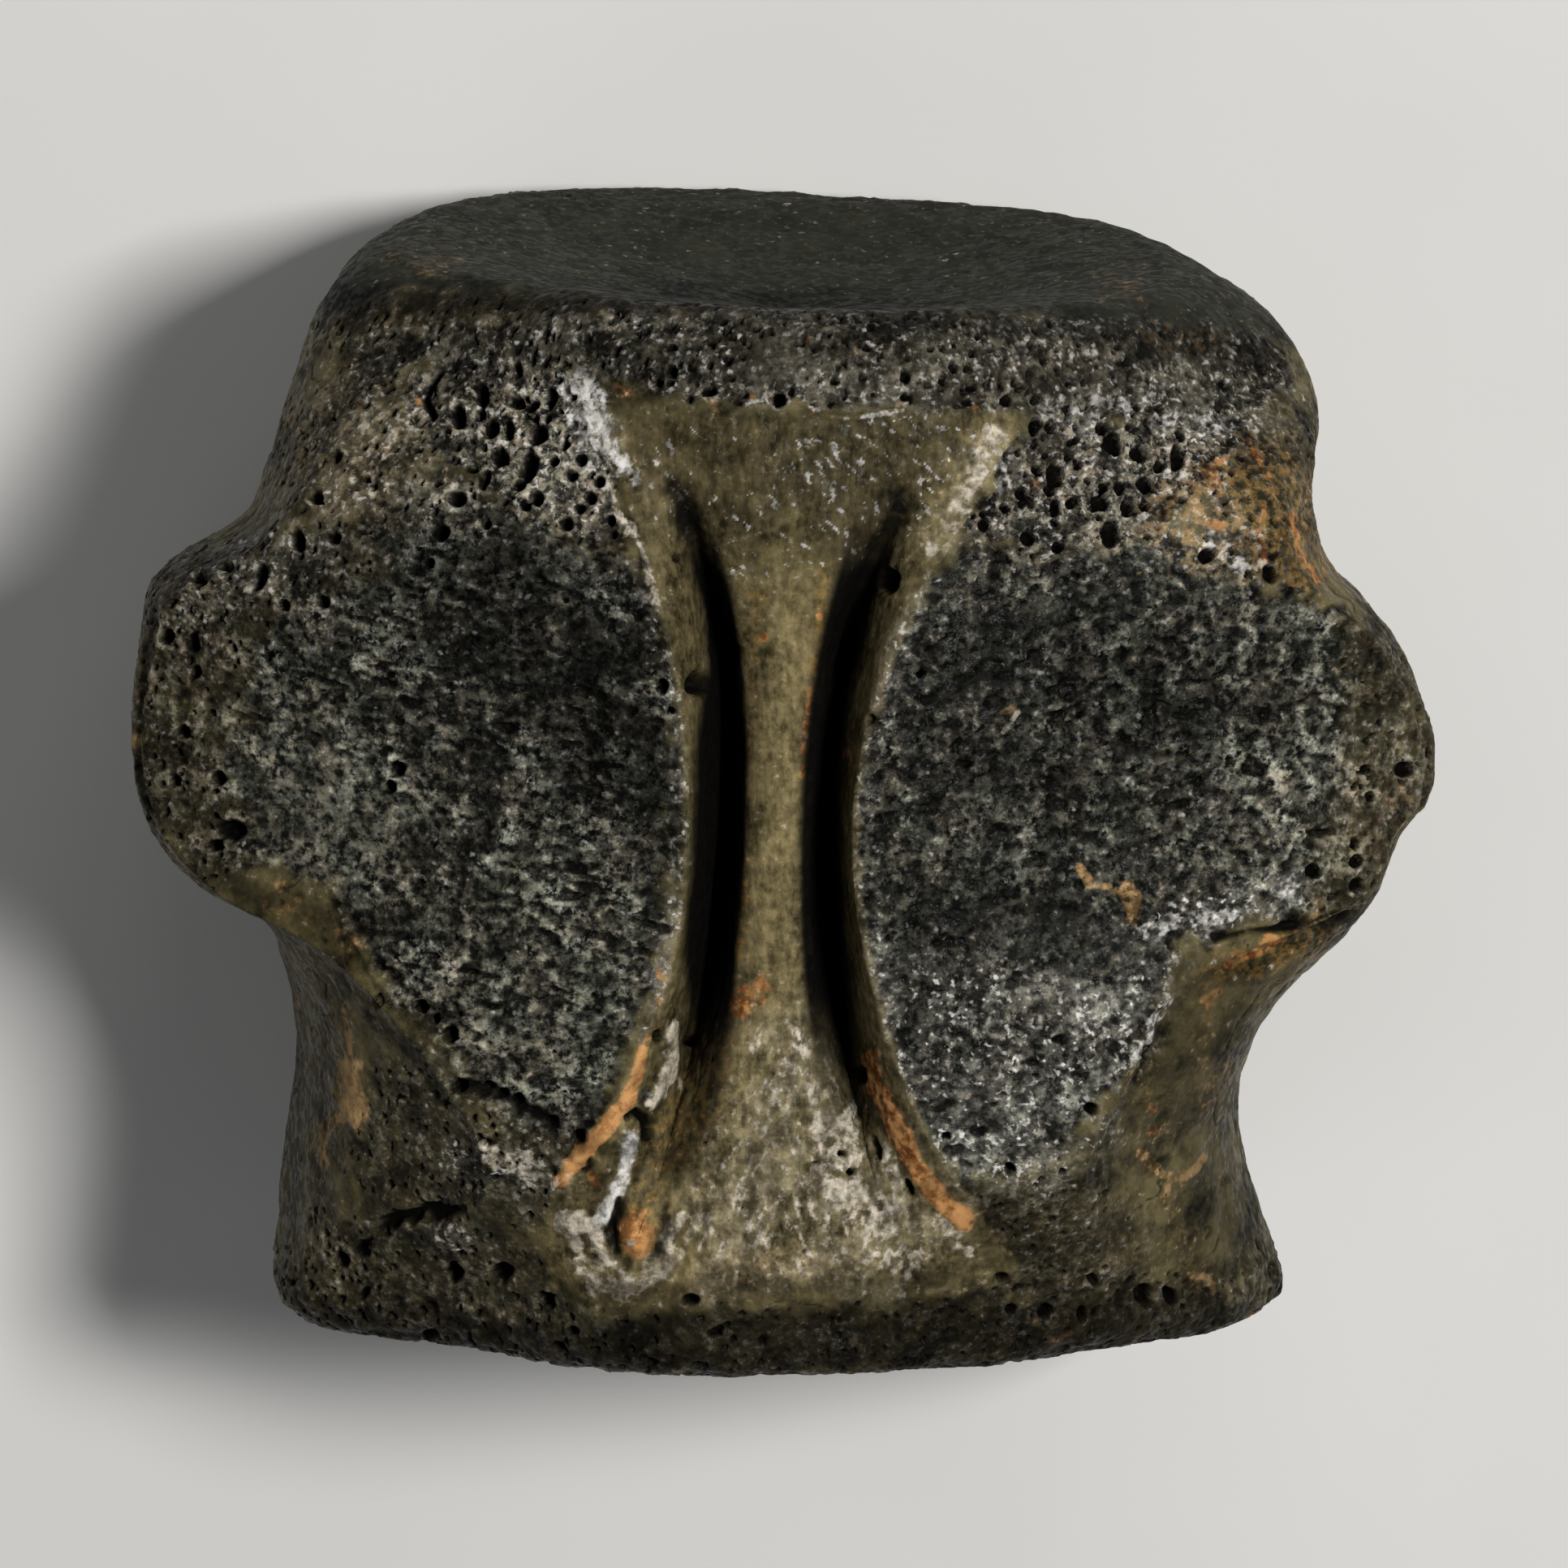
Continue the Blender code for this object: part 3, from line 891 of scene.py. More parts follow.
def crumpled(points: Array, seed: int, reach: float) -> Array:
    """Points shifted by noise, which makes round cells irregular.

    Args:
        points: The points, as rows of XYZ.
        seed: The noise's seed.
        reach: About how far they are shifted.

    Returns:
        The shifted points.
    """
    twist = Lattice(seed)
    shift = [twist.smooth(points + AXIS_SHIFT * axis, 2.4 * reach) for axis in (1, 2, 3)]
    return points + reach * np.stack(shift, axis=1)


@dataclass(frozen=True)
class Grain:
    """Fractal unevenness. Along each axis its swells are stretch times as long."""

    seed: int
    size: float
    height: float
    octaves: int = 3
    stretch: Vector3 = (1.0, 1.0, 1.0)
    turn: float = 0.0

    def heights(self, points: Array) -> Array:
        """The height at each point, about as often below zero as above it."""
        places = drawn_out(points, self.stretch, self.turn)
        return self.height * Lattice(self.seed).fractal(places, self.size, self.octaves)


@dataclass(frozen=True)
class Dents:
    """Hollows where a grain's swells stand between low and high."""

    grain: Grain
    low: float
    high: float
    depth: float

    def heights(self, points: Array) -> Array:
        """The height at each point, never above zero."""
        return -self.depth * eased(self.grain.heights(points), self.low, self.high)


@dataclass(frozen=True)
class Pores:
    """Scattered pores: one to a cell of the given size, in a share of the cells."""

    seed: int
    size: float
    share: float
    radius: Span
    depth: float
    bend: float = 0.30

    def depths(self, points: Array) -> Array:
        """How deep the pores are.

        Args:
            points: The points, as rows of XYZ.

        Returns:
            The depth at each point.
        """
        bent = crumpled(points, self.seed + 1, self.bend * self.size)
        far, number = Lattice(self.seed).cells(bent, self.size)
        radius = mix(*self.radius, (number * 7.31) % 1.0)
        hole = 1.0 - eased(far / radius, 0.55, 1.05)
        return self.depth * hole * (number < self.share)


@dataclass(frozen=True)
class Granules:
    """Small crumbs of unlike heights that stand side by side."""

    seed: int
    size: float
    height: float
    stretch: Vector3 = (1.0, 1.0, 1.0)
    turn: float = 0.0
    bend: float = 0.35

    def heights(self, points: Array) -> Array:
        """How high the crumbs stand.

        Args:
            points: The points, as rows of XYZ.

        Returns:
            The height at each point.
        """
        places = drawn_out(points, self.stretch, self.turn)
        places = crumpled(places, self.seed + 50, self.bend * self.size)
        far, number = Lattice(self.seed).cells(places, self.size)
        crown = np.clip(1.0 - (far / (0.66 * self.size)) ** 2, 0.0, 1.0)
        return self.height * crown * (0.20 + 0.80 * number)


def strokes(*marks: tuple[float, Pixels], soft: float = 0.6,
            wander: float = 0.3) -> tuple[Stroke, ...]:
    """Strokes of one softness and wander, from their half widths and paths."""
    return tuple(Stroke(path, half, soft, wander) for half, path in marks)


# Broad parts of the surface, outlined on the photograph in its own pixels.
LEFT_FACET = Patch((
    795, 680, 825, 800, 838, 900, 838, 1000, 830, 1100, 815, 1200, 790, 1290, 745, 1380, 690, 1440,
    640, 1400, 565, 1340, 550, 1280, 465, 1215, 430, 1150, 400, 1105, 320, 1085, 250, 1060,
    190, 1000, 172, 900, 185, 780, 240, 720, 330, 685, 420, 645, 480, 585, 560, 575, 640, 610,
    735, 640), soft=20.0, wander=26.0)
RIGHT_FACET = Patch((
    1150, 680, 1110, 770, 1075, 860, 1055, 960, 1055, 1060, 1062, 1160, 1075, 1250, 1100, 1330,
    1140, 1410, 1185, 1470, 1240, 1455, 1340, 1400, 1385, 1345, 1420, 1280, 1440, 1190, 1470, 1155,
    1560, 1140, 1650, 1130, 1700, 1070, 1735, 1000, 1740, 900, 1710, 820, 1660, 755, 1560, 706,
    1480, 670, 1390, 655, 1300, 660, 1220, 650), soft=16.0, wander=24.0)
LEFT_SPONGE = Patch((
    520, 450, 620, 440, 700, 470, 735, 560, 760, 640, 745, 680, 680, 650, 600, 610, 530, 560,
    500, 500))
RIGHT_SPONGE = Patch((
    1210, 560, 1280, 520, 1400, 520, 1520, 500, 1560, 530, 1500, 590, 1430, 650, 1380, 680,
    1290, 690, 1190, 670, 1180, 640, 1230, 610))
RIM_BAND = Patch((
    430, 420, 700, 385, 1000, 380, 1300, 390, 1560, 410, 1600, 480, 1520, 525, 1250, 512,
    1100, 505, 1000, 500, 860, 495, 740, 470, 520, 450, 430, 500), wander=12.0)
ROUGH_CORNERS = (
    Patch((
        380, 1500, 470, 1490, 600, 1500, 680, 1560, 690, 1650, 560, 1670, 420, 1640, 370, 1580),
        soft=20.0),
    Patch((
        360, 500, 440, 440, 530, 450, 540, 560, 600, 620, 480, 640, 380, 660, 340, 600), soft=25.0,
        wander=24.0),
    Patch((
        1470, 600, 1540, 500, 1600, 470, 1630, 560, 1630, 660, 1560, 710, 1480, 690), soft=25.0,
        wander=24.0),
    Patch((
        470, 1285, 552, 1335, 640, 1395, 700, 1430, 720, 1475, 690, 1510, 560, 1500, 450, 1490,
        420, 1420, 450, 1350), soft=26.0, wander=24.0),
    Patch((
        1180, 1480, 1340, 1430, 1390, 1500, 1430, 1600, 1180, 1610, 1130, 1585), soft=20.0,
        wander=24.0))
LEFT_MARGIN = Patch((
    165, 680, 330, 660, 420, 640, 470, 700, 330, 760, 290, 850, 270, 960, 300, 1060, 250, 1100,
    165, 1000), soft=25.0)
RIGHT_MARGIN = Patch((
    1700, 740, 1780, 800, 1790, 980, 1720, 1060, 1680, 1140, 1600, 1150, 1640, 1060, 1670, 980,
    1660, 860, 1660, 780), soft=25.0)
END_BROW = Patch((
    380, 330, 600, 200, 900, 180, 1300, 230, 1500, 270, 1660, 400, 1620, 430, 1440, 412, 1300, 396,
    1000, 376, 700, 364, 470, 360, 400, 400), wander=7.0)
FAN_STREAKS = Patch((
    925, 1260, 1000, 1260, 1070, 1420, 1180, 1530, 1100, 1580, 850, 1580, 835, 1530, 880, 1440),
    soft=30.0)
CANAL_FLECKS = Patch((745, 505, 1215, 510, 1190, 610, 1060, 720, 900, 720, 800, 640), soft=30.0)
SMOOTH_PATCHES = (
    Patch((300, 950, 420, 930, 500, 980, 520, 1060, 420, 1110, 330, 1060), soft=22.0),
    Patch((1180, 1120, 1300, 1105, 1430, 1140, 1430, 1185, 1330, 1195, 1200, 1180), soft=16.0))

# Open pores of the broken bone: where, how wide and how tall, all in pixels; each is sunk and
# painted with shade.
PORES = (
    (635, 456, 7, 10), (591, 489, 8, 14), (562, 513, 9, 13), (590, 512, 7, 8), (673, 518, 6, 6),
    (603, 527, 9, 13), (624, 531, 6, 11), (660, 536, 11, 13), (695, 552, 6, 6), (613, 564, 11, 10),
    (649, 575, 9, 18), (681, 570, 6, 6), (713, 568, 8, 8), (702, 588, 8, 7), (580, 581, 9, 6),
    (596, 592, 7, 14), (562, 616, 11, 10), (640, 600, 6, 6), (660, 616, 9, 9), (647, 625, 6, 6),
    (736, 596, 6, 6), (725, 616, 8, 8), (713, 629, 7, 7), (695, 647, 8, 8), (541, 659, 10, 9),
    (598, 649, 6, 6), (527, 697, 6, 6), (751, 644, 5, 5), (634, 496, 9, 8), (653, 502, 13, 8),
    (674, 495, 8, 14), (1274, 530, 6, 11), (1295, 529, 6, 6), (1361, 529, 7, 7),
    (1375, 547, 10, 14), (1405, 560, 11, 11), (1453, 563, 8, 14), (1455, 537, 6, 6),
    (1281, 581, 7, 7), (1302, 586, 10, 15), (1295, 605, 7, 7), (1260, 610, 8, 8),
    (1382, 602, 8, 8), (1412, 596, 10, 10), (1362, 601, 6, 6), (1359, 621, 11, 10),
    (1392, 627, 8, 11), (1413, 625, 6, 6), (1302, 628, 6, 11), (1322, 622, 7, 7),
    (1371, 657, 11, 17), (1267, 666, 8, 8), (1304, 677, 7, 7), (1214, 650, 8, 8),
    (1240, 629, 6, 6), (1488, 687, 9, 8), (1566, 712, 8, 12), (1330, 575, 6, 6), (1430, 575, 6, 7),
    (365, 668, 8, 14), (410, 665, 7, 7), (277, 701, 8, 8), (318, 713, 10, 15), (245, 716, 9, 8),
    (395, 746, 7, 8), (205, 788, 8, 8), (235, 797, 9, 11), (240, 831, 8, 8), (222, 906, 8, 8),
    (268, 961, 8, 8), (213, 966, 7, 7), (488, 952, 8, 8), (479, 973, 7, 7), (348, 750, 6, 6),
    (389, 616, 8, 7), (414, 565, 6, 7), (280, 1029, 16, 12), (262, 1046, 10, 7),
    (1621, 1078, 9, 9), (1672, 1065, 7, 8), (1674, 1094, 8, 7), (1671, 1043, 6, 7),
    (1734, 952, 10, 8), (1685, 952, 7, 6), (1690, 985, 6, 7), (828, 430, 6, 5), (828, 460, 6, 6),
    (809, 475, 6, 5), (874, 487, 9, 5), (962, 496, 8, 7), (1029, 473, 6, 5), (1118, 469, 6, 6),
    (1116, 493, 6, 5), (1163, 473, 6, 6), (1200, 481, 7, 6), (1241, 497, 7, 6), (1429, 505, 6, 6))

# Holes and pits one by one, as x, y, half size, stretch and turn; each is sunk and painted with
# shade.
VESSEL_HOLES = tuple(Spot(*sizes) for sizes in (
    (466, 1236, 0.12, 1.7, 10.0), (860, 845, 0.27, 1.2), (1093, 718, 0.32, 1.1), (835, 690, 0.13),
    (811, 1282, 0.14, 1.5), (850, 1284, 0.15, 1.3), (1061, 1326, 0.21, 1.2), (1048, 1447, 0.1),
    (1080, 1416, 0.13, 2.4, -18.0), (1119, 1467, 0.13, 1.9, -25.0), (1036, 1424, 0.08),
    (815, 850, 0.13, 1.5), (825, 880, 0.1), (1136, 836, 0.12), (517, 1245, 0.17),
    (535, 1260, 0.13), (552, 1280, 0.17, 1.3), (566, 1342, 0.17), (601, 1341, 0.16, 0.7),
    (619, 1350, 0.13), (638, 1358, 0.15), (678, 1384, 0.17, 0.8), (713, 1405, 0.15),
    (601, 1412, 0.11), (1347, 1370, 0.18), (1166, 1405, 0.13), (1246, 1447, 0.13),
    (1073, 889, 0.11)))
RIM_PITS = tuple(Spot(*sizes) for sizes in (
    (559, 1572, 0.21, 1.2), (617, 1572, 0.34, 0.9), (670, 1604, 0.2, 1.5, -50.0),
    (419, 1556, 0.17, 1.4, -30.0), (850, 1606, 0.24, 0.7), (530, 1650, 0.22, 0.7),
    (704, 1643, 0.18, 0.8), (1411, 1600, 0.22, 1.5, -15.0), (1444, 1602, 0.16, 1.9, -35.0),
    (1289, 1620, 0.17), (1334, 1624, 0.14, 1.5), (1246, 1616, 0.15), (1185, 1619, 0.13, 0.3),
    (1234, 1577, 0.17, 0.7)))

# Ridges, rods and grooves.
LEFT_RUST_BAND = (
    Stroke((814, 1200, 806, 1262, 792, 1298), 0.13, wander=0.35),
    Stroke((792, 1296, 783, 1333, 770, 1362), 0.23, wander=0.3),
    Stroke((772, 1360, 757, 1376, 746, 1394, 730, 1413), 0.24, wander=0.3),
    Stroke((732, 1411, 712, 1432, 690, 1456), 0.24, wander=0.45))
RIGHT_RUST_BAND = (
    Stroke((1072, 1306, 1082, 1345, 1098, 1380), 0.27, wander=0.35),
    Stroke((1096, 1376, 1120, 1426, 1143, 1462, 1164, 1488, 1186, 1504), 0.31, wander=0.3))
RUST_RIDGES = (*LEFT_RUST_BAND[1:], *RIGHT_RUST_BAND)
WHITE_ROD = Stroke((775, 1406, 769, 1440, 759, 1472, 742, 1504), 0.27, soft=0.9, wander=0.25)
PALE_CURLS = (
    Stroke((706, 1516, 726, 1512, 738, 1534, 752, 1556, 776, 1582), 0.27, soft=0.9, wander=0.7),
    Stroke((830, 1268, 831, 1300, 818, 1336, 803, 1362), 0.24, soft=0.95, wander=0.8))
WHITE_CORNER = Patch((
    686, 470, 712, 456, 742, 486, 768, 552, 792, 590, 762, 588, 736, 560, 716, 545, 694, 515),
    soft=7.0, wander=10.0)
# A thin groove beside the white rod, sunk and painted with shade.
MOAT = Stroke((762, 1480, 755, 1510, 760, 1545), 0.09, wander=0.2)
NODULE = Spot(788, 1516, 0.6, 1.45, 14.0, soft=0.7, wander=0.08)
LAMINA = Stroke((
    925, 497, 985, 498, 1012, 514, 1040, 519, 1075, 515, 1112, 508), 0.07, soft=0.8, wander=0.5)
EDGE_CHAIN = Stroke((
    560, 1338, 601, 1346, 640, 1362, 680, 1388, 716, 1414, 722, 1440), 0.22, soft=0.9, wander=0.8)
# Painted shadow under the overhanging lower edge of the right wing, slightly sunk.
UNDERCUT = (
    Stroke((1500, 1158, 1545, 1150, 1600, 1145), 0.13, soft=0.95, wander=0.6),
    Stroke((1588, 1142, 1630, 1137, 1654, 1134), 0.3, soft=0.95, wander=0.4))
# The upper tips of the canal grooves, sunk and painted with shade.
GROOVE_TIPS = (
    Stroke((840, 612, 856, 668, 880, 740, 892, 800), 0.62, soft=0.95),
    Stroke((1106, 625, 1078, 690, 1052, 760, 1038, 820), 0.62, soft=0.95))
# Arcs of painted shadow along the rims of the crater and of pits, slightly sunk.
CRATER = (
    Stroke((444, 1542, 462, 1522, 486, 1506, 520, 1496, 566, 1496), 0.26, soft=0.98, wander=0.7),)
CRESCENTS = (
    Stroke((541, 462, 526, 480, 522, 494, 531, 514), 0.1, wander=0.2),
    Stroke((774, 1379, 784, 1374, 793, 1380, 798, 1392, 796, 1404), 0.12, soft=0.5, wander=0.1))
FACET_EDGES = (
    Stroke((425, 1140, 462, 1208, 548, 1275, 575, 1345, 650, 1398, 695, 1440), 0.16, wander=0.5),
    Stroke((1450, 1180, 1436, 1235, 1400, 1305, 1372, 1350), 0.18, wander=0.5))

# Stains, by mineral.
RUST_SPOTS = tuple(Spot(*sizes) for sizes in (
    (940, 787, 0.14, 1.4), (1010, 762, 0.14, 1.2), (910, 1232, 0.2, 1.9), (934, 1224, 0.46, 1.1),
    (913, 1242, 0.4, 1.0), (1041, 930, 0.12, 1.8), (927, 493, 0.12, 0.7), (1202, 505, 0.16, 0.6),
    (1616, 463, 0.13, 0.8), (1278, 597, 0.13), (512, 494, 0.09), (1539, 546, 0.12),
    (731, 1452, 0.22, 1.9, -15.0), (335, 937, 0.08), (816, 430, 0.08), (994, 422, 0.08),
    (1564, 1160, 0.22, 0.8), (1002, 512, 0.08), (1090, 511, 0.1, 0.5)))
RUST_STROKES = (
    *strokes(
        (0.15, (1516, 1190, 1542, 1176, 1580, 1160)),
        (0.07, (998, 850, 992, 900, 988, 960)), wander=0.6),
    *strokes(
        (0.17, (1472, 652, 1486, 645, 1506, 650)),
        (0.12, (1500, 615, 1494, 580, 1512, 566)),
        (0.12, (1535, 545, 1562, 590, 1572, 612)),
        (0.14, (1590, 640, 1600, 680, 1628, 722)),
        (0.12, (1560, 690, 1548, 655, 1560, 630)), wander=0.9))
TAN_BAND = (
    Stroke((432, 1318, 436, 1345, 442, 1374), 0.4, soft=0.8, wander=0.4),
    Stroke((424, 1240, 430, 1275, 434, 1312), 0.09, wander=0.5),
    Stroke((436, 1372, 414, 1384, 400, 1408, 402, 1436), 0.17, wander=0.5))
TAN_STROKES = (
    *strokes(
        (0.42, (430, 1330, 428, 1350, 440, 1380)),
        (0.22, (446, 1376, 410, 1384, 396, 1405, 395, 1440)),
        (0.16, (1332, 1074, 1345, 1092, 1368, 1098, 1388, 1104)), wander=0.5),
    *strokes(
        (0.16, (1406, 1424, 1436, 1452, 1466, 1450, 1484, 1430)),
        (0.11, (1438, 1455, 1436, 1482))),
    Stroke((1386, 1098, 1400, 1108, 1398, 1134), 0.27, wander=0.35),
    Stroke((1240, 880, 1250, 875), 0.13, wander=0.4),
    Stroke((1470, 1570, 1490, 1590), 0.2, wander=0.6),
    Spot(1404, 709, 0.1, 0.5, -10.0),
    Spot(1190, 399, 0.1))
TAN_HAZE = (
    *strokes(
        (0.6, (500, 330, 548, 328)),
        (0.55, (1366, 352, 1400, 350)),
        (0.42, (1482, 1265, 1478, 1290, 1494, 1350)),
        (0.4, (1420, 1300, 1412, 1350, 1436, 1400)),
        (0.5, (1440, 1490, 1470, 1530, 1480, 1590)),
        (0.75, (700, 1540, 760, 1600, 900, 1580, 1040, 1550)), soft=0.98, wander=0.8),
    Stroke((420, 1250, 432, 1340, 400, 1420), 0.6, soft=0.98, wander=0.6))
CREAM_STROKES = (
    *strokes(
        (0.22, (1094, 1424, 1100, 1446, 1106, 1468)),
        (0.1, (1255, 880, 1238, 905)),
        (0.05, (855, 1180, 848, 1200))),
    Stroke((1044, 1378, 1052, 1430, 1058, 1490), 0.27, wander=0.8),
    *strokes(
        (0.6, (1030, 1400, 1070, 1500, 1100, 1560)),
        (0.3, (790, 1590, 832, 1560, 860, 1518)),
        (0.3, (600, 1420, 640, 1440, 680, 1462)),
        (0.26, (1222, 540, 1204, 580, 1180, 625, 1150, 680)), wander=1.0),
    Stroke((982, 1270, 1000, 1340, 1012, 1410, 1020, 1470), 0.13, wander=1.1),
    *strokes(
        (0.1, (804, 1552, 816, 1528, 826, 1505)),
        (0.27, (712, 1506, 730, 1524, 742, 1548)),
        (0.14, (820, 1300, 832, 1320, 838, 1342)), wander=0.5),
    *strokes(
        (0.34, (700, 1510, 716, 1550, 764, 1592)),
        (0.16, (745, 600, 790, 680, 812, 760)), wander=0.9),
    Stroke((800, 1562, 822, 1530, 838, 1506), 0.2, wander=0.6),
    *(Spot(x, y, 0.11, 1.7, 15.0, wander=0.6) for x, y in (
        (406, 502), (448, 527), (409, 544), (472, 565), (434, 589), (423, 624), (458, 610),
        (392, 572))),
    Stroke((1160, 1500, 1190, 1545), 0.26, wander=1.2),
    *(Spot(*sizes) for sizes in ((1566, 1194, 0.09), (1495, 1189, 0.1), (1447, 1186, 0.12))))
CHALK_STROKES = (
    *(Stroke((686 + 10 * k, 474 - k, 694 + 10 * k, 496, 708 + 11 * k, 536 + 3 * k), 0.075,
             wander=0.7) for k in range(6)),
    *strokes(
        (0.42, (704, 474, 722, 500, 734, 524)),
        (0.26, (1280, 508, 1340, 500, 1420, 508, 1500, 520)), wander=1.1),
    Stroke((748, 548, 765, 570, 780, 592), 0.3, wander=0.7),
    # A painted highlight along the lit left edge of the canal, laid as a thin chalk line.
    Stroke((720, 566, 752, 612, 782, 660, 806, 722, 824, 750), 0.05, wander=0.4),
    Stroke((1226, 560, 1238, 600), 0.26, wander=0.8),
    *strokes(
        (0.24, (1490, 662, 1510, 680, 1526, 700)),
        (0.2, (1444, 588, 1466, 612)),
        (0.26, (1400, 1150, 1450, 1138, 1490, 1134, 1530, 1120, 1600, 1090)),
        (0.13, (1446, 1190, 1436, 1240, 1400, 1296, 1384, 1335)), wander=1.0),
    Stroke((1130, 735, 1112, 775, 1104, 812), 0.05, wander=0.5),
    Stroke((1392, 650, 1420, 632), 0.13),
    *(Spot(*sizes) for sizes in (
        (795, 1354, 0.25, 0.6, -20.0), (1420, 492, 0.2), (1490, 1136, 0.16),
        (1545, 1112, 0.13, 2.0), (1566, 1107, 0.1, 1.4), (1350, 1524, 0.12, 0.8),
        (1328, 1506, 0.1), (1244, 1527, 0.08, 1.8, -45.0), (1267, 1545, 0.08, 1.6, -45.0),
        (583, 1526, 0.25, 0.7), (759, 460, 0.09), (774, 474, 0.08), (843, 454, 0.08),
        (943, 498, 0.1, 0.7), (1139, 399, 0.05, 0.4), (295, 711, 0.18), (298, 672, 0.14, 0.7),
        (230, 755, 0.16), (388, 682, 0.15, 0.7), (882, 575, 0.07, 0.4, -35.0))))

# Lighter, darker, glittering and ochre parts, each with its strength; some darker parts are
# painted shade, one lighter part is a painted highlight and the glitter marks painted glints.
PALE_PARTS = (
    (0.9, Patch((
        270, 900, 340, 850, 460, 880, 510, 960, 520, 1050, 430, 1110, 330, 1060, 275, 1000),
        soft=45.0)),
    (0.7, Patch((
        470, 1090, 640, 1050, 790, 1100, 800, 1240, 740, 1370, 620, 1340, 520, 1230), soft=50.0)),
    (0.8, Patch((180, 780, 250, 700, 340, 760, 330, 900, 280, 1040, 200, 960), soft=40.0)),
    (0.75, Patch((
        1560, 780, 1690, 800, 1750, 900, 1740, 1000, 1660, 1080, 1560, 1060, 1520, 950, 1510, 850),
        soft=45.0)),
    (0.48, Stroke((975, 640, 962, 900, 958, 1100, 965, 1300, 985, 1450), 0.75, soft=0.8)),
    (0.42, Patch((
        850, 1470, 900, 1370, 950, 1320, 1010, 1340, 1070, 1430, 1180, 1530, 1100, 1585, 870, 1595,
        700, 1580, 720, 1500), soft=30.0)),
    (1.0, TAN_BAND[0]),
    (0.75, Patch((915, 1270, 985, 1280, 975, 1380, 905, 1480, 840, 1490, 880, 1390), soft=22.0)),
    # A painted highlight along the lit right edge of the keel.
    (0.8, Stroke((982, 960, 986, 1100, 990, 1200, 1002, 1320, 1020, 1390), 0.14)),
    (0.7, Stroke((1226, 545, 1194, 600, 1156, 670), 0.75, soft=0.9)),
    (1.0, Stroke((792, 1296, 770, 1362, 740, 1402, 690, 1456), 0.4)),
    (0.45, Spot(785, 1530, 0.45, 1.2)),
    (0.3, Stroke((1140, 1450, 1186, 1504), 0.35)),
    (0.8, Spot(934, 1222, 0.36)))
DARK_AND_SHADE_PARTS = (
    (0.7, Patch((
        500, 640, 640, 650, 770, 760, 825, 880, 830, 1040, 740, 1010, 620, 900, 520, 760),
        soft=45.0)),
    (0.6, Patch((
        1130, 760, 1300, 740, 1500, 780, 1560, 880, 1420, 960, 1240, 1000, 1090, 960), soft=45.0)),
    (0.4, Patch((
        1110, 1080, 1290, 1060, 1430, 1140, 1440, 1180, 1300, 1200, 1120, 1170), soft=30.0)),
    (1.0, Stroke((
        420, 377, 700, 374, 1000, 386, 1300, 406, 1560, 432), 0.68, soft=0.9, wander=0.4)),
    # Painted shade on the lower rim, which faces down.
    (1.0, Patch((
        360, 1590, 600, 1625, 820, 1612, 1180, 1600, 1500, 1580, 1540, 1640, 1400, 1700,
        450, 1700), soft=22.0)),
    (0.45, Patch((700, 1440, 560, 1470, 440, 1470, 400, 1600, 660, 1600, 690, 1520), soft=30.0)),
    (0.45, Patch((1190, 1480, 1380, 1400, 1420, 1560, 1200, 1580), soft=30.0)),
    (0.58, RIM_BAND),
    # Painted shadow in the lower ends of the two canal grooves.
    (0.7, Stroke((893, 1240, 884, 1320, 862, 1395, 834, 1445), 0.55, soft=0.8)),
    (0.5, Stroke((1035, 1290, 1045, 1350), 0.5, soft=0.9)),
    (0.4, Stroke((955, 1330, 940, 1400, 930, 1470), 0.45, soft=0.95)),
    (0.55, Patch((1440, 1400, 1560, 1380, 1600, 1600, 1450, 1600), soft=30.0)),
    (0.55, Patch((330, 1130, 440, 1130, 440, 1240, 400, 1500, 330, 1500), soft=25.0)),
    (0.5, Patch((
        760, 510, 1190, 515, 1170, 580, 1080, 680, 980, 720, 880, 680, 800, 590), soft=30.0)),
    (0.25, RIGHT_SPONGE),
    (0.18, Patch((1450, 480, 1600, 470, 1640, 640, 1600, 740, 1500, 700, 1440, 600), soft=30.0)),
    (0.58, LEFT_MARGIN),
    (0.68, Stroke((250, 1085, 330, 1108, 400, 1125, 450, 1190), 0.45, soft=0.9)),
    (0.3, Stroke((1066, 1290, 1082, 1345, 1100, 1390), 0.4)),
    # More painted shade along the down-facing lower rim.
    (0.75, Stroke((700, 1602, 850, 1592, 1000, 1590, 1180, 1572), 0.46, soft=0.9, wander=0.5)),
    (0.85, Stroke((
        560, 1338, 601, 1348, 640, 1364, 680, 1390, 716, 1412), 0.26, soft=0.8, wander=0.5)),
    (0.6, Patch((1430, 1180, 1560, 1170, 1560, 1400, 1500, 1420, 1400, 1380), soft=30.0)),
    (0.52, RIGHT_MARGIN),
    (0.65, Spot(733, 1452, 0.4, 1.6, -15.0)))
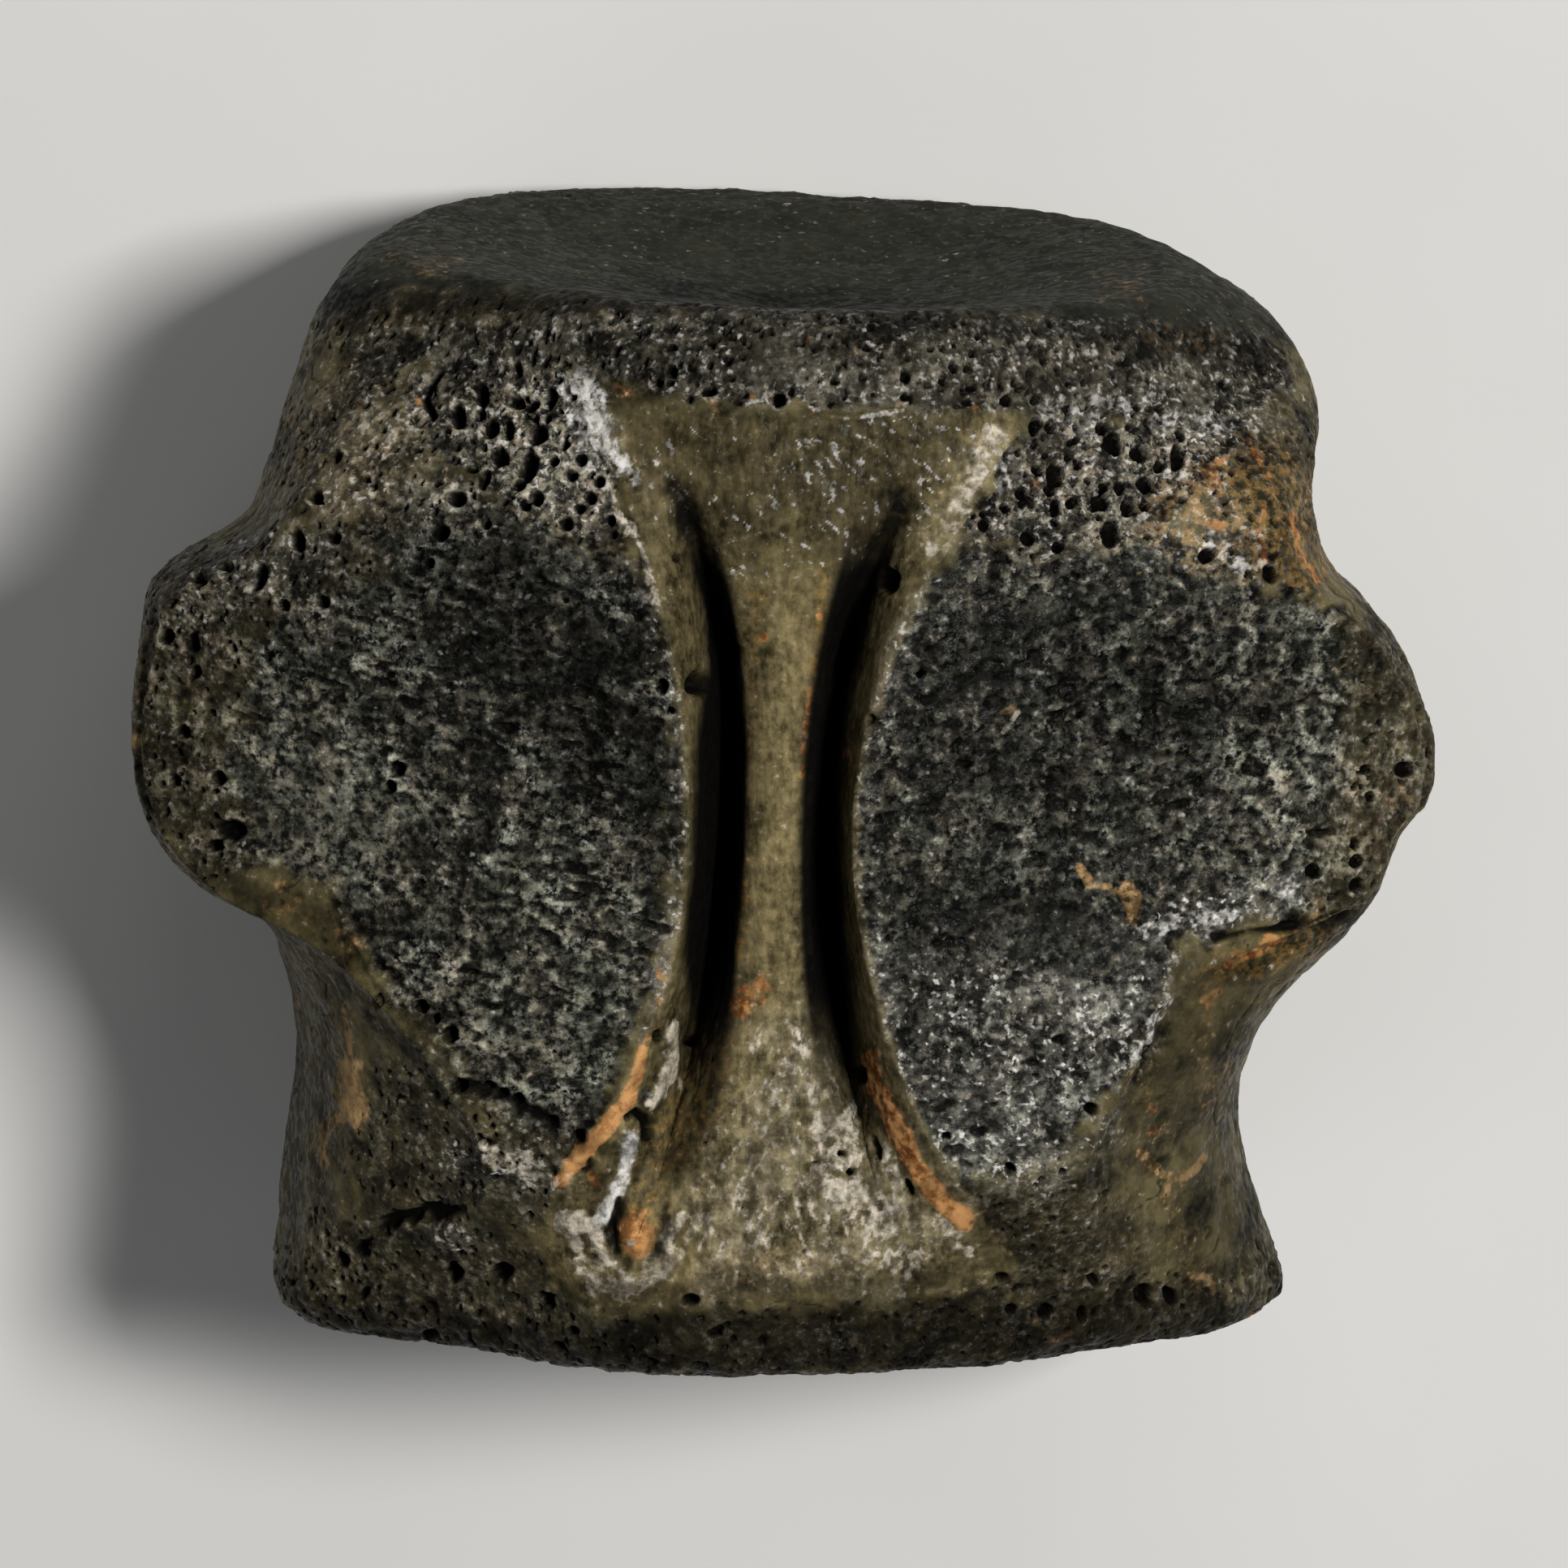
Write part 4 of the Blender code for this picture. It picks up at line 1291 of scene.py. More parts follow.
GLITTER_PARTS = (
    (0.8, Stroke((
        795, 740, 822, 830, 836, 930, 838, 1030, 830, 1130, 812, 1210, 795, 1280), 0.26)),
    (0.7, Stroke((
        1150, 720, 1108, 790, 1082, 880, 1068, 980, 1070, 1080, 1084, 1190, 1112, 1290, 1150, 1390,
        1195, 1455), 0.36)),
    (1.0, Patch((
        1290, 1230, 1440, 1190, 1432, 1265, 1392, 1320, 1320, 1370, 1260, 1330), soft=30.0)),
    (0.7, Patch((1090, 1190, 1290, 1200, 1300, 1400, 1190, 1470, 1130, 1380), soft=30.0)),
    (0.7, Patch((
        1190, 1440, 1300, 1400, 1380, 1370, 1370, 1440, 1280, 1480, 1200, 1480), soft=12.0)),
    (1.0, Patch((
        1400, 1140, 1440, 1110, 1560, 1080, 1610, 1080, 1590, 1130, 1490, 1150, 1420, 1160),
        soft=12.0)),
    (0.75, RIM_BAND),
    (0.9, Patch((1280, 470, 1500, 460, 1580, 520, 1540, 570, 1420, 530, 1290, 530), soft=14.0)),
    (1.0, Patch((685, 460, 745, 455, 775, 560, 735, 600, 700, 540), soft=10.0)),
    (0.35, RIGHT_SPONGE),
    (0.4, LEFT_SPONGE),
    (0.6, Patch((220, 690, 420, 640, 440, 700, 340, 740, 250, 780, 210, 770), soft=14.0)),
    (1.0, Patch((
        1000, 1390, 1040, 1370, 1080, 1440, 1100, 1500, 1050, 1530, 1010, 1500), soft=18.0)),
    (0.75, Patch((
        850, 1470, 900, 1370, 940, 1260, 1000, 1240, 1030, 1360, 1180, 1530, 1100, 1585,
        870, 1595), soft=30.0)),
    (0.6, Patch((1400, 690, 1420, 640, 1500, 600, 1560, 660, 1530, 710, 1460, 700), soft=14.0)),
    (0.5, Patch((380, 480, 450, 440, 540, 560, 600, 630, 480, 650, 380, 640), soft=25.0)),
    (0.7, Spot(566, 1530, 0.85, 0.6)),
    (0.6, Stroke((1226, 545, 1194, 600, 1156, 670), 0.65, soft=0.9)),
    (0.8, Patch((560, 1400, 640, 1410, 710, 1450, 700, 1480, 600, 1470, 550, 1430), soft=18.0)))
OCHRE_PARTS = (
    (0.8, Patch((
        1400, 640, 1450, 590, 1510, 560, 1545, 520, 1600, 560, 1625, 640, 1665, 700, 1610, 740,
        1530, 700, 1450, 690), soft=22.0, wander=22.0)),
    (0.2, Patch((
        380, 480, 460, 450, 520, 520, 540, 570, 500, 630, 420, 650, 350, 620, 355, 540), soft=25.0,
        wander=22.0)),
    (0.65, Patch((
        850, 1270, 905, 1285, 882, 1370, 852, 1440, 815, 1455, 790, 1430, 800, 1390, 835, 1330),
        soft=12.0, wander=8.0)),
    (0.9, Patch((1485, 1205, 1520, 1165, 1640, 1145, 1655, 1165, 1560, 1205), soft=12.0)),
    (0.12, Patch((330, 1110, 430, 1125, 470, 1240, 430, 1330, 380, 1250), soft=22.0)),
    (0.7, Stroke((
        935, 740, 925, 850, 918, 950, 915, 1060, 912, 1180), 0.22, soft=0.9, wander=0.6)),
    (0.6, Stroke((1016, 700, 1004, 850, 994, 980), 0.14, wander=0.6)),
    (0.7, Stroke((1420, 415, 1510, 428), 0.28, wander=0.8)),
    (0.5, Spot(800, 1470, 0.55, 1.3, -20.0)),
    (1.0, NODULE),
    (0.6, Stroke((1048, 900, 1042, 990), 0.12, wander=0.5)))
TONES = {
    Tone.PALE: PALE_PARTS,
    Tone.DARK_AND_SHADE: DARK_AND_SHADE_PARTS,
    Tone.GLITTER: GLITTER_PARTS,
    Tone.OCHRE: OCHRE_PARTS,
}

Mark = Patch | Stroke | Spot
Texture = Grain | Dents | Granules


def joined(surface: Surface, marks: Sequence[Mark]) -> Array:
    """How far each point belongs to any of the marks."""
    return np.maximum.reduce([mark.share(surface) for mark in marks])


@dataclass
class Carver:
    """Carves the bare surface and notes what covers it and the shade painted on it, point by
    point.
    """

    spool: Spool
    surface: Surface
    height: Array = field(init=False)
    zones: Array = field(init=False)
    stains: Array = field(init=False)
    tones: Array = field(init=False)
    painted_shade: Array = field(init=False)
    polish: Array = field(init=False)
    pore_shade: float = 0.75
    smoothing: int = 14
    full_hollow: float = 0.06
    full_crest: float = 0.05
    least_share: float = 0.001

    def __post_init__(self) -> None:
        """Starts with no relief and no colour."""
        count = len(self.surface.points)
        self.height = np.zeros(count)
        self.zones = np.zeros((count, len(Zone)))
        self.stains = np.zeros((count, len(Stain)))
        self.tones = np.zeros((count, len(Tone)))
        self.painted_shade = np.zeros(count)
        self.polish = np.zeros(count)

    def zone(self, kind: Zone) -> Array:
        """The share of one kind of surface at each point."""
        return self.zones[:, kind.value]

    def plain(self) -> Array:
        """The share of plain outer bone at each point."""
        return 1.0 - self.zones.max(axis=1)

    def add(self, share: Array, *textures: Texture) -> None:
        """Adds textures, each worked out only where its share isn't nothing.

        Args:
            share: How strong they are at each point.
            textures: What is added, one after the other.
        """
        there = share > self.least_share
        for texture in textures:
            self.height[there] += share[there] * texture.heights(self.surface.points[there])

    def bore(self, share: Array, pores: Pores) -> None:
        """Sinks scattered pores, and paints shade into them.

        Args:
            share: Where they may be, and how open they are there.
            pores: The pores.
        """
        there = share > 0.02
        depths = pores.depths(self.surface.points[there])
        depths *= eased(share[there], 0.1, 0.5)
        self.height[there] -= depths
        dark = self.pore_shade * depths / pores.depth
        self.painted_shade[there] = np.maximum(self.painted_shade[there], dark)

    def sink(self, share: Array, depth: float, dark: float) -> None:
        """Sinks a hole or line, and paints shade into it."""
        self.height -= depth * share
        self.painted_shade = np.maximum(self.painted_shade, dark * share)

    def stain(self, kind: Stain, share: Array) -> None:
        """Lays a stain where share is."""
        channel = self.stains[:, kind.value]
        np.maximum(channel, share, out=channel)

    def shade_and_wear(self) -> Array:
        """What the relief and the painted shade do to the colour.

        Returns:
            A row of hollow (painted shade in the relief's hollows), crest, painted shade and
            polish for each point.
        """
        relief = self.height - self.surface.smoothed(self.height, self.smoothing)
        hollow = np.clip(-relief / self.full_hollow, 0.0, 1.0)
        crest = np.clip(relief / self.full_crest, 0.0, 1.0)
        return np.stack([hollow, crest, np.clip(self.painted_shade, 0.0, 1.0), self.polish], axis=1)

    def carved(self) -> Array:
        """The surface's points, moved along their normals by the relief."""
        return self.surface.points + self.surface.normals * self.height[:, None]


@dataclass(frozen=True)
class ZoneMap:
    """Where each kind of bone surface lies."""

    face_fade: tuple[int, int] = (-12, 6)
    top: Span = (-8.0, -7.0)
    canal_fade: float = 0.12
    canal_low: Span = (-10.7, -9.8)
    canal_high: Span = (9.20, 9.55)
    rim: Span = (1.2, 2.4)
    band_share: float = 0.62
    margin_share: float = 0.60
    corner_share: float = 0.55

    def mark(self, carver: Carver) -> None:
        """Finds which kind of surface each point belongs to.

        Args:
            carver: What the zones are noted in.
        """
        surface, spool = carver.surface, carver.spool
        drift = surface.drift
        x, y, z = surface.points.T
        rows, columns = surface.grid.shape[:2]
        row = np.arange(rows)
        inner = np.minimum(row, rows - 1 - row) - surface.face_rows
        end_face = np.repeat(1.0 - eased(inner, *self.face_fade), columns)
        end_face = np.maximum(end_face, END_BROW.share(surface))
        edge = np.where(x < 0, spool.canal_lines(y, LEFT_FLANK)[0],
                        spool.canal_lines(y, RIGHT_FLANK)[0])
        within = 1.0 - eased(np.abs(x) - edge + 0.13 * drift, -self.canal_fade, self.canal_fade)
        ends = (eased(y + 0.40 * drift, *self.canal_low)
                * (1.0 - eased(y + 0.18 * drift, *self.canal_high)))
        canal = within * ends * eased(z, *self.top) * (1.0 - end_face)
        from_rim = np.minimum(y - spool.end_low, spool.end_high - y)
        rim = (1.0 - eased(from_rim + 0.3 * drift, *self.rim)) * (1.0 - end_face)
        band = np.maximum(1.15 * RIM_BAND.share(surface), 0.8 * rim)
        free = (1.0 - canal) * (1.0 - end_face)
        sponge = free * np.maximum.reduce([
            joined(surface, (LEFT_SPONGE, RIGHT_SPONGE)),
            self.band_share * band,
            self.margin_share * joined(surface, (LEFT_MARGIN, RIGHT_MARGIN)),
            self.corner_share * joined(surface, ROUGH_CORNERS)])
        facet = joined(surface, (LEFT_FACET, RIGHT_FACET)) * free * (1.0 - sponge)
        for kind, share in ((Zone.SPONGY, sponge), (Zone.CANAL, canal), (Zone.FACET, facet),
                            (Zone.END_FACE, end_face)):
            carver.zone(kind)[:] = share


@dataclass(frozen=True)
class Facets:
    """The rough seats of the arch: grains, crosswise streaks and pits."""

    sunk: float = 0.06
    calmed: float = 0.75
    broad: Lattice = Lattice(30)
    left_grain: Grain = Grain(31, 0.36, 0.080, 4, stretch=(2.1, 1.0, 1.5), turn=-12.0)
    left_crumbs: Granules = Granules(35, 0.17, 0.045)
    left_grooves: Dents = Dents(
        Grain(33, 0.36, 1.0, 3, stretch=(3.4, 1.0, 1.6), turn=-12.0), 0.28, 0.70, 0.13)
    right_grain: Grain = Grain(32, 0.40, 0.080, 4)
    right_crumbs: Granules = Granules(36, 0.21, 0.070)
    right_dents: Dents = Dents(
        Grain(34, 0.55, 1.0, 3, stretch=(1.9, 1.0, 1.4), turn=-10.0), 0.30, 0.72, 0.13)
    waves: Grain = Grain(37, 1.4, 0.08, 3)
    pits: Pores = Pores(38, 0.50, 0.34, (0.05, 0.10), 0.18)

    def carve(self, carver: Carver) -> None:
        """Carves them, and polishes their worn patches.

        Args:
            carver: What is carved.
        """
        surface = carver.surface
        facet = carver.zone(Zone.FACET)
        smooth = joined(surface, SMOOTH_PATCHES)
        rough = facet * (1.0 - self.calmed * smooth)
        carver.polish = np.maximum(carver.polish, smooth * facet)
        carver.height -= self.sunk * facet
        relief = self.broad.fractal(surface.points, 1.1, 2)
        rough *= 0.75 + 0.45 * np.clip(relief, -1.0, 1.0)
        left = rough * (surface.points[:, 0] < 0.0)
        right = rough - left
        carver.add(left, self.left_grain, self.left_crumbs, self.left_grooves)
        carver.add(right, self.right_grain, self.right_crumbs, self.right_dents)
        carver.add(rough, self.waves)
        carver.bore(rough, self.pits)


@dataclass(frozen=True)
class SpongyBone:
    """Broken spongy bone: struts between open pores, coarsest along the lower rim."""

    sunk: float = 0.10
    struts: Grain = Grain(41, 0.50, 0.085, 4)
    crumbs: Granules = Granules(42, 0.21, 0.09)
    open_pores: Pores = Pores(43, 0.43, 0.28, (0.09, 0.14), 0.30)
    fine_pores: Pores = Pores(44, 0.25, 0.60, (0.05, 0.10), 0.20)
    band_pores: Pores = Pores(48, 0.38, 0.55, (0.07, 0.13), 0.24)
    low_rim: Span = (-10.6, -9.6)
    low_lumps: Grain = Grain(46, 0.75, 0.15, 3, stretch=(1.6, 1.0, 1.0))
    low_pores: Pores = Pores(47, 0.70, 0.40, (0.11, 0.21), 0.22)

    def carve(self, carver: Carver) -> None:
        """Carves it.

        Args:
            carver: What is carved.
        """
        surface = carver.surface
        sponge = carver.zone(Zone.SPONGY)
        carver.height -= self.sunk * eased(sponge, 0.3, 1.0)
        carver.add(sponge, self.struts, self.crumbs)
        carver.bore(eased(sponge, 0.62, 0.9), self.open_pores)
        carver.bore(sponge, self.fine_pores)
        carver.bore(sponge * eased(RIM_BAND.share(surface), 0.3, 0.8), self.band_pores)
        low = sponge * (1.0 - eased(surface.points[:, 1], *self.low_rim))
        carver.add(low, self.low_lumps)
        carver.bore(low, self.low_pores)


@dataclass(frozen=True)
class CanalFloor:
    """The canal floor: fine lengthwise striae, a raised brim and two grooves darkened with painted
    shade.
    """

    polish: float = 0.5
    striae: Grain = Grain(51, 0.16, 0.014, 2, stretch=(1.0, 7.0, 1.0))
    waves: Grain = Grain(52, 1.1, 0.035, 3, stretch=(1.0, 1.8, 1.0))
    fan_from: Span = (4.5, 7.5)
    fan_grain: Grain = Grain(53, 0.30, 0.040, 3, stretch=(1.0, 1.6, 1.0))
    fan_crumbs: Granules = Granules(55, 0.17, 0.030)
    fan_pores: Pores = Pores(54, 0.85, 0.22, (0.05, 0.09), 0.10)
    clouds: Grain = Grain(56, 0.55, 1.0, 3, stretch=(1.0, 1.5, 1.0))
    cloud_dark: float = 0.55
    top: Span = (-8.0, -7.0)
    brim_half: float = 0.10
    brim_height: float = 0.05
    shade_dark: float = 0.995
    shade_keel: float = 0.30
    shade_wall: float = 0.32
    right_shade: Span = (0.36, 0.20)
    left_shade: tuple[float, float, float] = (0.12, 0.06, 0.48)
    wall_dark: float = 0.22

    def carve(self, carver: Carver) -> None:
        """Carves the floor, its brims and its grooves.

        Args:
            carver: What is carved.
        """
        points = carver.surface.points
        canal = carver.zone(Zone.CANAL)
        dark = carver.tones[:, Tone.DARK_AND_SHADE.value]
        carver.polish = np.maximum(carver.polish, self.polish * canal)
        carver.add(canal, self.striae, self.waves)
        fan = canal * eased(np.abs(points[:, 1] - 1.0), *self.fan_from)
        carver.add(fan, self.fan_grain, self.fan_crumbs)
        carver.bore(fan, self.fan_pores)
        dark += self.cloud_dark * fan * eased(self.clouds.heights(points), 0.0, 0.45)
        for flank in (LEFT_FLANK, RIGHT_FLANK):
            self.shade_side(carver, flank)

    def shade_side(self, carver: Carver, flank: Flank) -> None:
        """Raises the brim on one side of the canal, paints shade into the groove and darkens the
        wall.

        Args:
            carver: What is carved.
            flank: The side.
        """
        x, y, z = carver.surface.points.T
        edge, groove, keel = carver.spool.canal_lines(y, flank)
        beside = x * flank.side.value
        here = eased(z, *self.top) * eased(y, -9.5, -7.5) * (1.0 - eased(y, 7.5, 9.0))
        here *= beside > 0
        brim = np.exp(-(((beside - edge) / self.brim_half) ** 2)) * here
        carver.height += self.brim_height * brim * (1.0 + 0.8 * carver.surface.drift)
        reach = eased(y, -7.6, -3.6) * (1.0 - eased(y, 5.8, 8.0))
        inner, outer = self.right_shade
        if flank.side is Side.LEFT:
            throat = eased(y, -4.8, -1.8) * (1.0 - eased(y, 1.8, 4.6))
            inner, least, more = self.left_shade
            outer = least + more * throat
        shade = eased(beside, keel - inner, keel - inner + self.shade_keel)
        shade *= 1.0 - eased(beside, groove + outer, groove + outer + self.shade_wall)
        carver.painted_shade = np.maximum(carver.painted_shade, self.shade_dark * shade * reach * here)
        wall = eased(beside, groove - 0.1, groove + 0.4) * carver.zone(Zone.CANAL) * (beside > 0)
        wall *= eased(y, -8.5, -4.0) * (1.0 - eased(y, 5.5, 8.5))
        carver.tones[:, Tone.DARK_AND_SHADE.value] += self.wall_dark * wall


@dataclass(frozen=True)
class OuterBone:
    """The smooth outer bone of the flanks and belly: striae, cracks and vessel holes."""

    polish: float = 0.9
    waves: Grain = Grain(61, 0.9, 0.050, 4)
    striae: Grain = Grain(62, 0.22, 0.006, 2, stretch=(1.0, 5.0, 1.0))
    pits: Pores = Pores(63, 1.7, 0.30, (0.06, 0.13), 0.25)
    pinpricks: Pores = Pores(64, 0.45, 0.07, (0.04, 0.07), 0.06)
    cracks: tuple[Grain, ...] = (Grain(65, 7.0, 1.0, 4), Grain(66, 5.0, 1.0, 4))
    crack_width: Span = (0.004, 0.016)
    crack_depth: float = 0.04
    mouths: tuple[tuple[float, float, float], ...] = ((-2.1, 0.9, 0.42), (1.8, 0.2, 0.38))
    mouth_depth: float = 0.9
    belly_below: float = -14.0

    def carve(self, carver: Carver) -> None:
        """Carves it, with the two vessel openings of the belly, and paints shade into its pits,
        cracks and openings.

        Args:
            carver: What is carved.
        """
        points = carver.surface.points
        plain = carver.plain()
        carver.polish = np.maximum(carver.polish, self.polish * plain)
        carver.add(plain, self.waves, self.striae)
        carver.bore(plain, self.pits)
        carver.bore(plain, self.pinpricks)
        for lines in self.cracks:
            crack = (1.0 - eased(np.abs(lines.heights(points)), *self.crack_width)) * plain
            crack *= eased(carver.surface.drift, 0.0, 0.4)
            carver.sink(crack, self.crack_depth, 0.40)
        for x, y, radius in self.mouths:
            away = np.hypot(points[:, 0] - x, points[:, 1] - y) / radius
            mouth = (1.0 - eased(away, 0.6, 1.1)) * (points[:, 2] < self.belly_below)
            carver.sink(mouth, self.mouth_depth, 0.9)


@dataclass(frozen=True)
class EndFaces:
    """The dished end faces: dull, finely mottled, with faint rings inside the rim."""

    ring_step: float = 0.62
    ring_height: float = 0.012
    ring_from: Span = (4.0, 9.5)
    waves: Grain = Grain(71, 1.6, 0.050, 3)
    crumbs: Granules = Granules(72, 0.30, 0.005)
    pits: Pores = Pores(73, 1.3, 0.25, (0.06, 0.12), 0.12)

    def carve(self, carver: Carver) -> None:
        """Carves both faces.

        Args:
            carver: What is carved.
        """
        surface = carver.surface
        face = carver.zone(Zone.END_FACE)
        from_axis = np.hypot(surface.points[:, 0],
                             surface.points[:, 2] + carver.spool.axis_depth)
        rings = np.sin(from_axis * 2 * math.pi / self.ring_step + 2.0 * surface.drift)
        carver.height += face * self.ring_height * rings * eased(from_axis, *self.ring_from)
        carver.add(face, self.waves, self.crumbs)
        carver.bore(face, self.pits)


@dataclass(frozen=True)
class Landmarks:
    """The pores, holes, ridges and pits that the photograph shows one by one."""

    flecks: Grain = Grain(81, 0.30, 1.0, 3)
    pore_scale: float = 1.35
    pore_depth: float = 0.42
    strut_scale: float = 1.6
    strut_height: float = 0.04
    nodule_height: float = 0.34
    pit_bank: Spot = Spot(562, 1528, 0.6, 0.6)

    def carve(self, carver: Carver) -> None:
        """Carves them all, and paints shade into the sunk holes, pits, arcs and grooves.

        Args:
            carver: What is carved.
        """
        self.bore_pores(carver)
        surface = carver.surface
        for marks, depth, dark in ((VESSEL_HOLES, 0.65, 1.0), (RIM_PITS, 0.45, 0.95),
                                   ((*CRATER, *CRESCENTS), 0.26, 0.95), (UNDERCUT, 0.14, 0.85)):
            for mark in marks:
                carver.sink(mark.share(surface), depth, dark)
        chain = EDGE_CHAIN.share(surface) * eased(surface.drift, -0.5, 0.0)
        carver.sink(chain, 0.16, 0.90)
        for marks, height in ((FACET_EDGES, 0.07), (RUST_RIDGES, 0.05), ((WHITE_ROD,), 0.10),
                              ((LAMINA,), 0.07), (PALE_CURLS, 0.08)):
            for mark in marks:
                carver.height += height * mark.share(surface)
        carver.sink(MOAT.share(surface), 0.10, 0.75)
        for mark in GROOVE_TIPS:
            carver.sink(mark.share(surface), 0.10, 0.92)
        nodule = NODULE.share(surface)
        carver.height += self.nodule_height * nodule
        carver.painted_shade *= 1.0 - nodule
        carver.height += 0.12 * self.pit_bank.share(surface)

    def bore_pores(self, carver: Carver) -> None:
        """Sinks the open pores, each within a pale, raised strut, and paints shade into them.

        Args:
            carver: What is carved.
        """
        surface = carver.surface
        broken = eased(self.flecks.heights(surface.points), -0.10, 0.40)
        broken *= eased(carver.zone(Zone.SPONGY), 0.2, 0.5)
        for x, y, wide, tall in PORES:
            half = self.pore_scale * wide / PHOTO.pixels_per_mm
            turn = (x * 7 + y) % 30 - 15.0
            strut = Spot(x, y, self.strut_scale * half, tall / wide, turn, wander=0.7)
            strut = strut.share(surface)
            carver.height += self.strut_height * strut
            carver.stain(Stain.CREAM, 0.50 * strut * broken)
            hole = Spot(x, y, half, tall / wide, turn, wander=0.25)
            carver.sink(hole.share(surface), self.pore_depth, 1.0)


@dataclass(frozen=True)
class MineralStains:
    """The rust, cream, tan and chalk of the photograph, and its lighter, darker and glittering
    parts, with painted shade, highlights and glints among them.
    """

    flecks: Grain = Grain(81, 0.30, 1.0, 3)
    nodule_rust: Spot = Spot(784, 1524, 0.56, 1.45, 14.0)
    nodule_glint: Spot = Spot(778, 1530, 0.11, 1.6, 20.0)
    narrow: float = 0.43
    fibres: Grain = Grain(84, 0.12, 1.0, 2, stretch=(1.0, 3.5, 1.0), turn=24.0)
    fan_turn: float = 22.0
    slants: Grain = Grain(83, 0.12, 1.0, 2, stretch=(2.4, 1.0, 1.0), turn=-50.0)
    bunches: Grain = Grain(89, 0.90, 0.30, 2)
    flakes: Grain = Grain(86, 0.105, 1.0, 1, stretch=(1.7, 1.0, 1.0), turn=-25.0)
    crowds: Grain = Grain(87, 0.80, 0.22, 2)
    loose: Grain = Grain(82, 2.6, 1.0, 4)

    def lay(self, carver: Carver) -> None:
        """Lays them all.

        Args:
            carver: What is stained.
        """
        flecks = self.flecks.heights(carver.surface.points)
        broken = eased(flecks, -0.30, 0.25)
        self.lay_marks(carver, broken, eased(flecks, 0.05, 0.50))
        self.lay_flecks(carver)
        for tone, marks in TONES.items():
            channel = carver.tones[:, tone.value]
            for strength, mark in marks:
                np.maximum(channel, strength * mark.share(carver.surface), out=channel)
        carver.tones = np.clip(carver.tones, 0.0, 1.0)
        self.lay_flakes(carver)
        loose = self.loose.heights(carver.surface.points)
        plain = carver.plain()
        carver.stain(Stain.TAN, 0.6 * plain * eased(loose, 0.42, 0.75) * broken)
        carver.stain(Stain.RUST, 0.5 * plain * eased(-loose, 0.58, 0.85) * broken)

    def lay_marks(self, carver: Carver, broken: Array, sparse: Array) -> None:
        """Lays the stains that the photograph shows one by one.

        Args:
            carver: What is stained.
            broken: How whole a broken stain is at each point.
            sparse: The same for a sparse one.
        """
        surface = carver.surface
        for kind, strength, marks in ((Stain.RUST, 0.9, (*RUST_SPOTS, *RUST_STROKES)),
                                      (Stain.TAN, 0.85, TAN_STROKES),
                                      (Stain.CREAM, 0.8, CREAM_STROKES)):
            for mark in marks:
                narrow = isinstance(mark, Spot) or mark.half_width < self.narrow
                whole = 0.45 + 0.55 * broken if narrow else broken
                carver.stain(kind, strength * mark.share(surface) * whole)
        for kind, strength, marks in ((Stain.RUST, 1.0, (*RUST_RIDGES, self.nodule_rust)),
                                      (Stain.TAN, 1.0, TAN_BAND), (Stain.TAN, 0.24, TAN_HAZE),
                                      (Stain.CHALK, 0.95, (WHITE_ROD,)),
                                      (Stain.CREAM, 0.95, PALE_CURLS)):
            for mark in marks:
                carver.stain(kind, strength * mark.share(surface))
        for kind, strength, marks, whole in (
                (Stain.RUST, 0.6, LEFT_RUST_BAND[:1], broken),
                (Stain.CHALK, 0.85, CHALK_STROKES, 0.25 + 0.75 * sparse),
                (Stain.CHALK, 0.7, (LAMINA,), broken)):
            for mark in marks:
                carver.stain(kind, strength * mark.share(surface) * whole)

    def lay_flecks(self, carver: Carver) -> None:
        """Lays the white corner's fibres, the fan's streaks and the canal's slanting flecks.

        Args:
            carver: What is stained.
        """
        surface = carver.surface
        points = surface.points
        canal = carver.zone(Zone.CANAL)
        fibres = eased(self.fibres.heights(points), -0.45, 0.25)
        carver.stain(Stain.CHALK, WHITE_CORNER.share(surface) * fibres)
        low_fan = canal * FAN_STREAKS.share(surface)
        for side in Side:
            here = low_fan * eased(side.value * points[:, 0], -0.3, 0.3)
            streaks = Grain(88, 0.15, 1.0, 2, stretch=(1.0, 5.0, 1.0),
                            turn=side.value * self.fan_turn)
            carver.stain(Stain.CREAM, 0.66 * here * eased(streaks.heights(points), 0.05, 0.60))
        slants = self.slants.heights(points) + self.bunches.heights(points)
        slants = eased(slants, 0.46, 0.66) * CANAL_FLECKS.share(surface)
        carver.stain(Stain.CHALK, 0.78 * slants * canal)

    def lay_flakes(self, carver: Carver) -> None:
        """Strews white flakes, partly painted glints, over the rough bone, keeps the rusty ridges
        clean and paints a highlight on the nodule.

        Args:
            carver: What is stained.
        """
        surface = carver.surface
        points = surface.points
        rough = np.maximum(0.55 * carver.zone(Zone.SPONGY), carver.tones[:, Tone.GLITTER.value])
        rough *= (1.0 - carver.zone(Zone.END_FACE)) * (1.0 - 0.65 * carver.zone(Zone.CANAL))
        rough *= eased(points[:, 1], -10.9, -9.4)
        flakes = self.flakes.heights(points) + self.crowds.heights(points)
        # White flakes where the grit is rough or glitters: partly chalk, partly painted glints.
        carver.stain(Stain.CHALK, 0.95 * rough * eased(flakes, 0.40, 0.60))
        clean = 1.0 - joined(surface, (NODULE, *RUST_RIDGES))
        for kind in (Stain.CHALK, Stain.CREAM):
            carver.stains[:, kind.value] *= clean
        # A painted highlight on the nodule, laid as cream.
        carver.stain(Stain.CREAM, 0.9 * self.nodule_glint.share(surface))


Relief = Facets | SpongyBone | CanalFloor | OuterBone | EndFaces | Landmarks
Socket = bpy.types.NodeSocket
Value = Socket | bpy.types.NodeTree | float | str | Colour


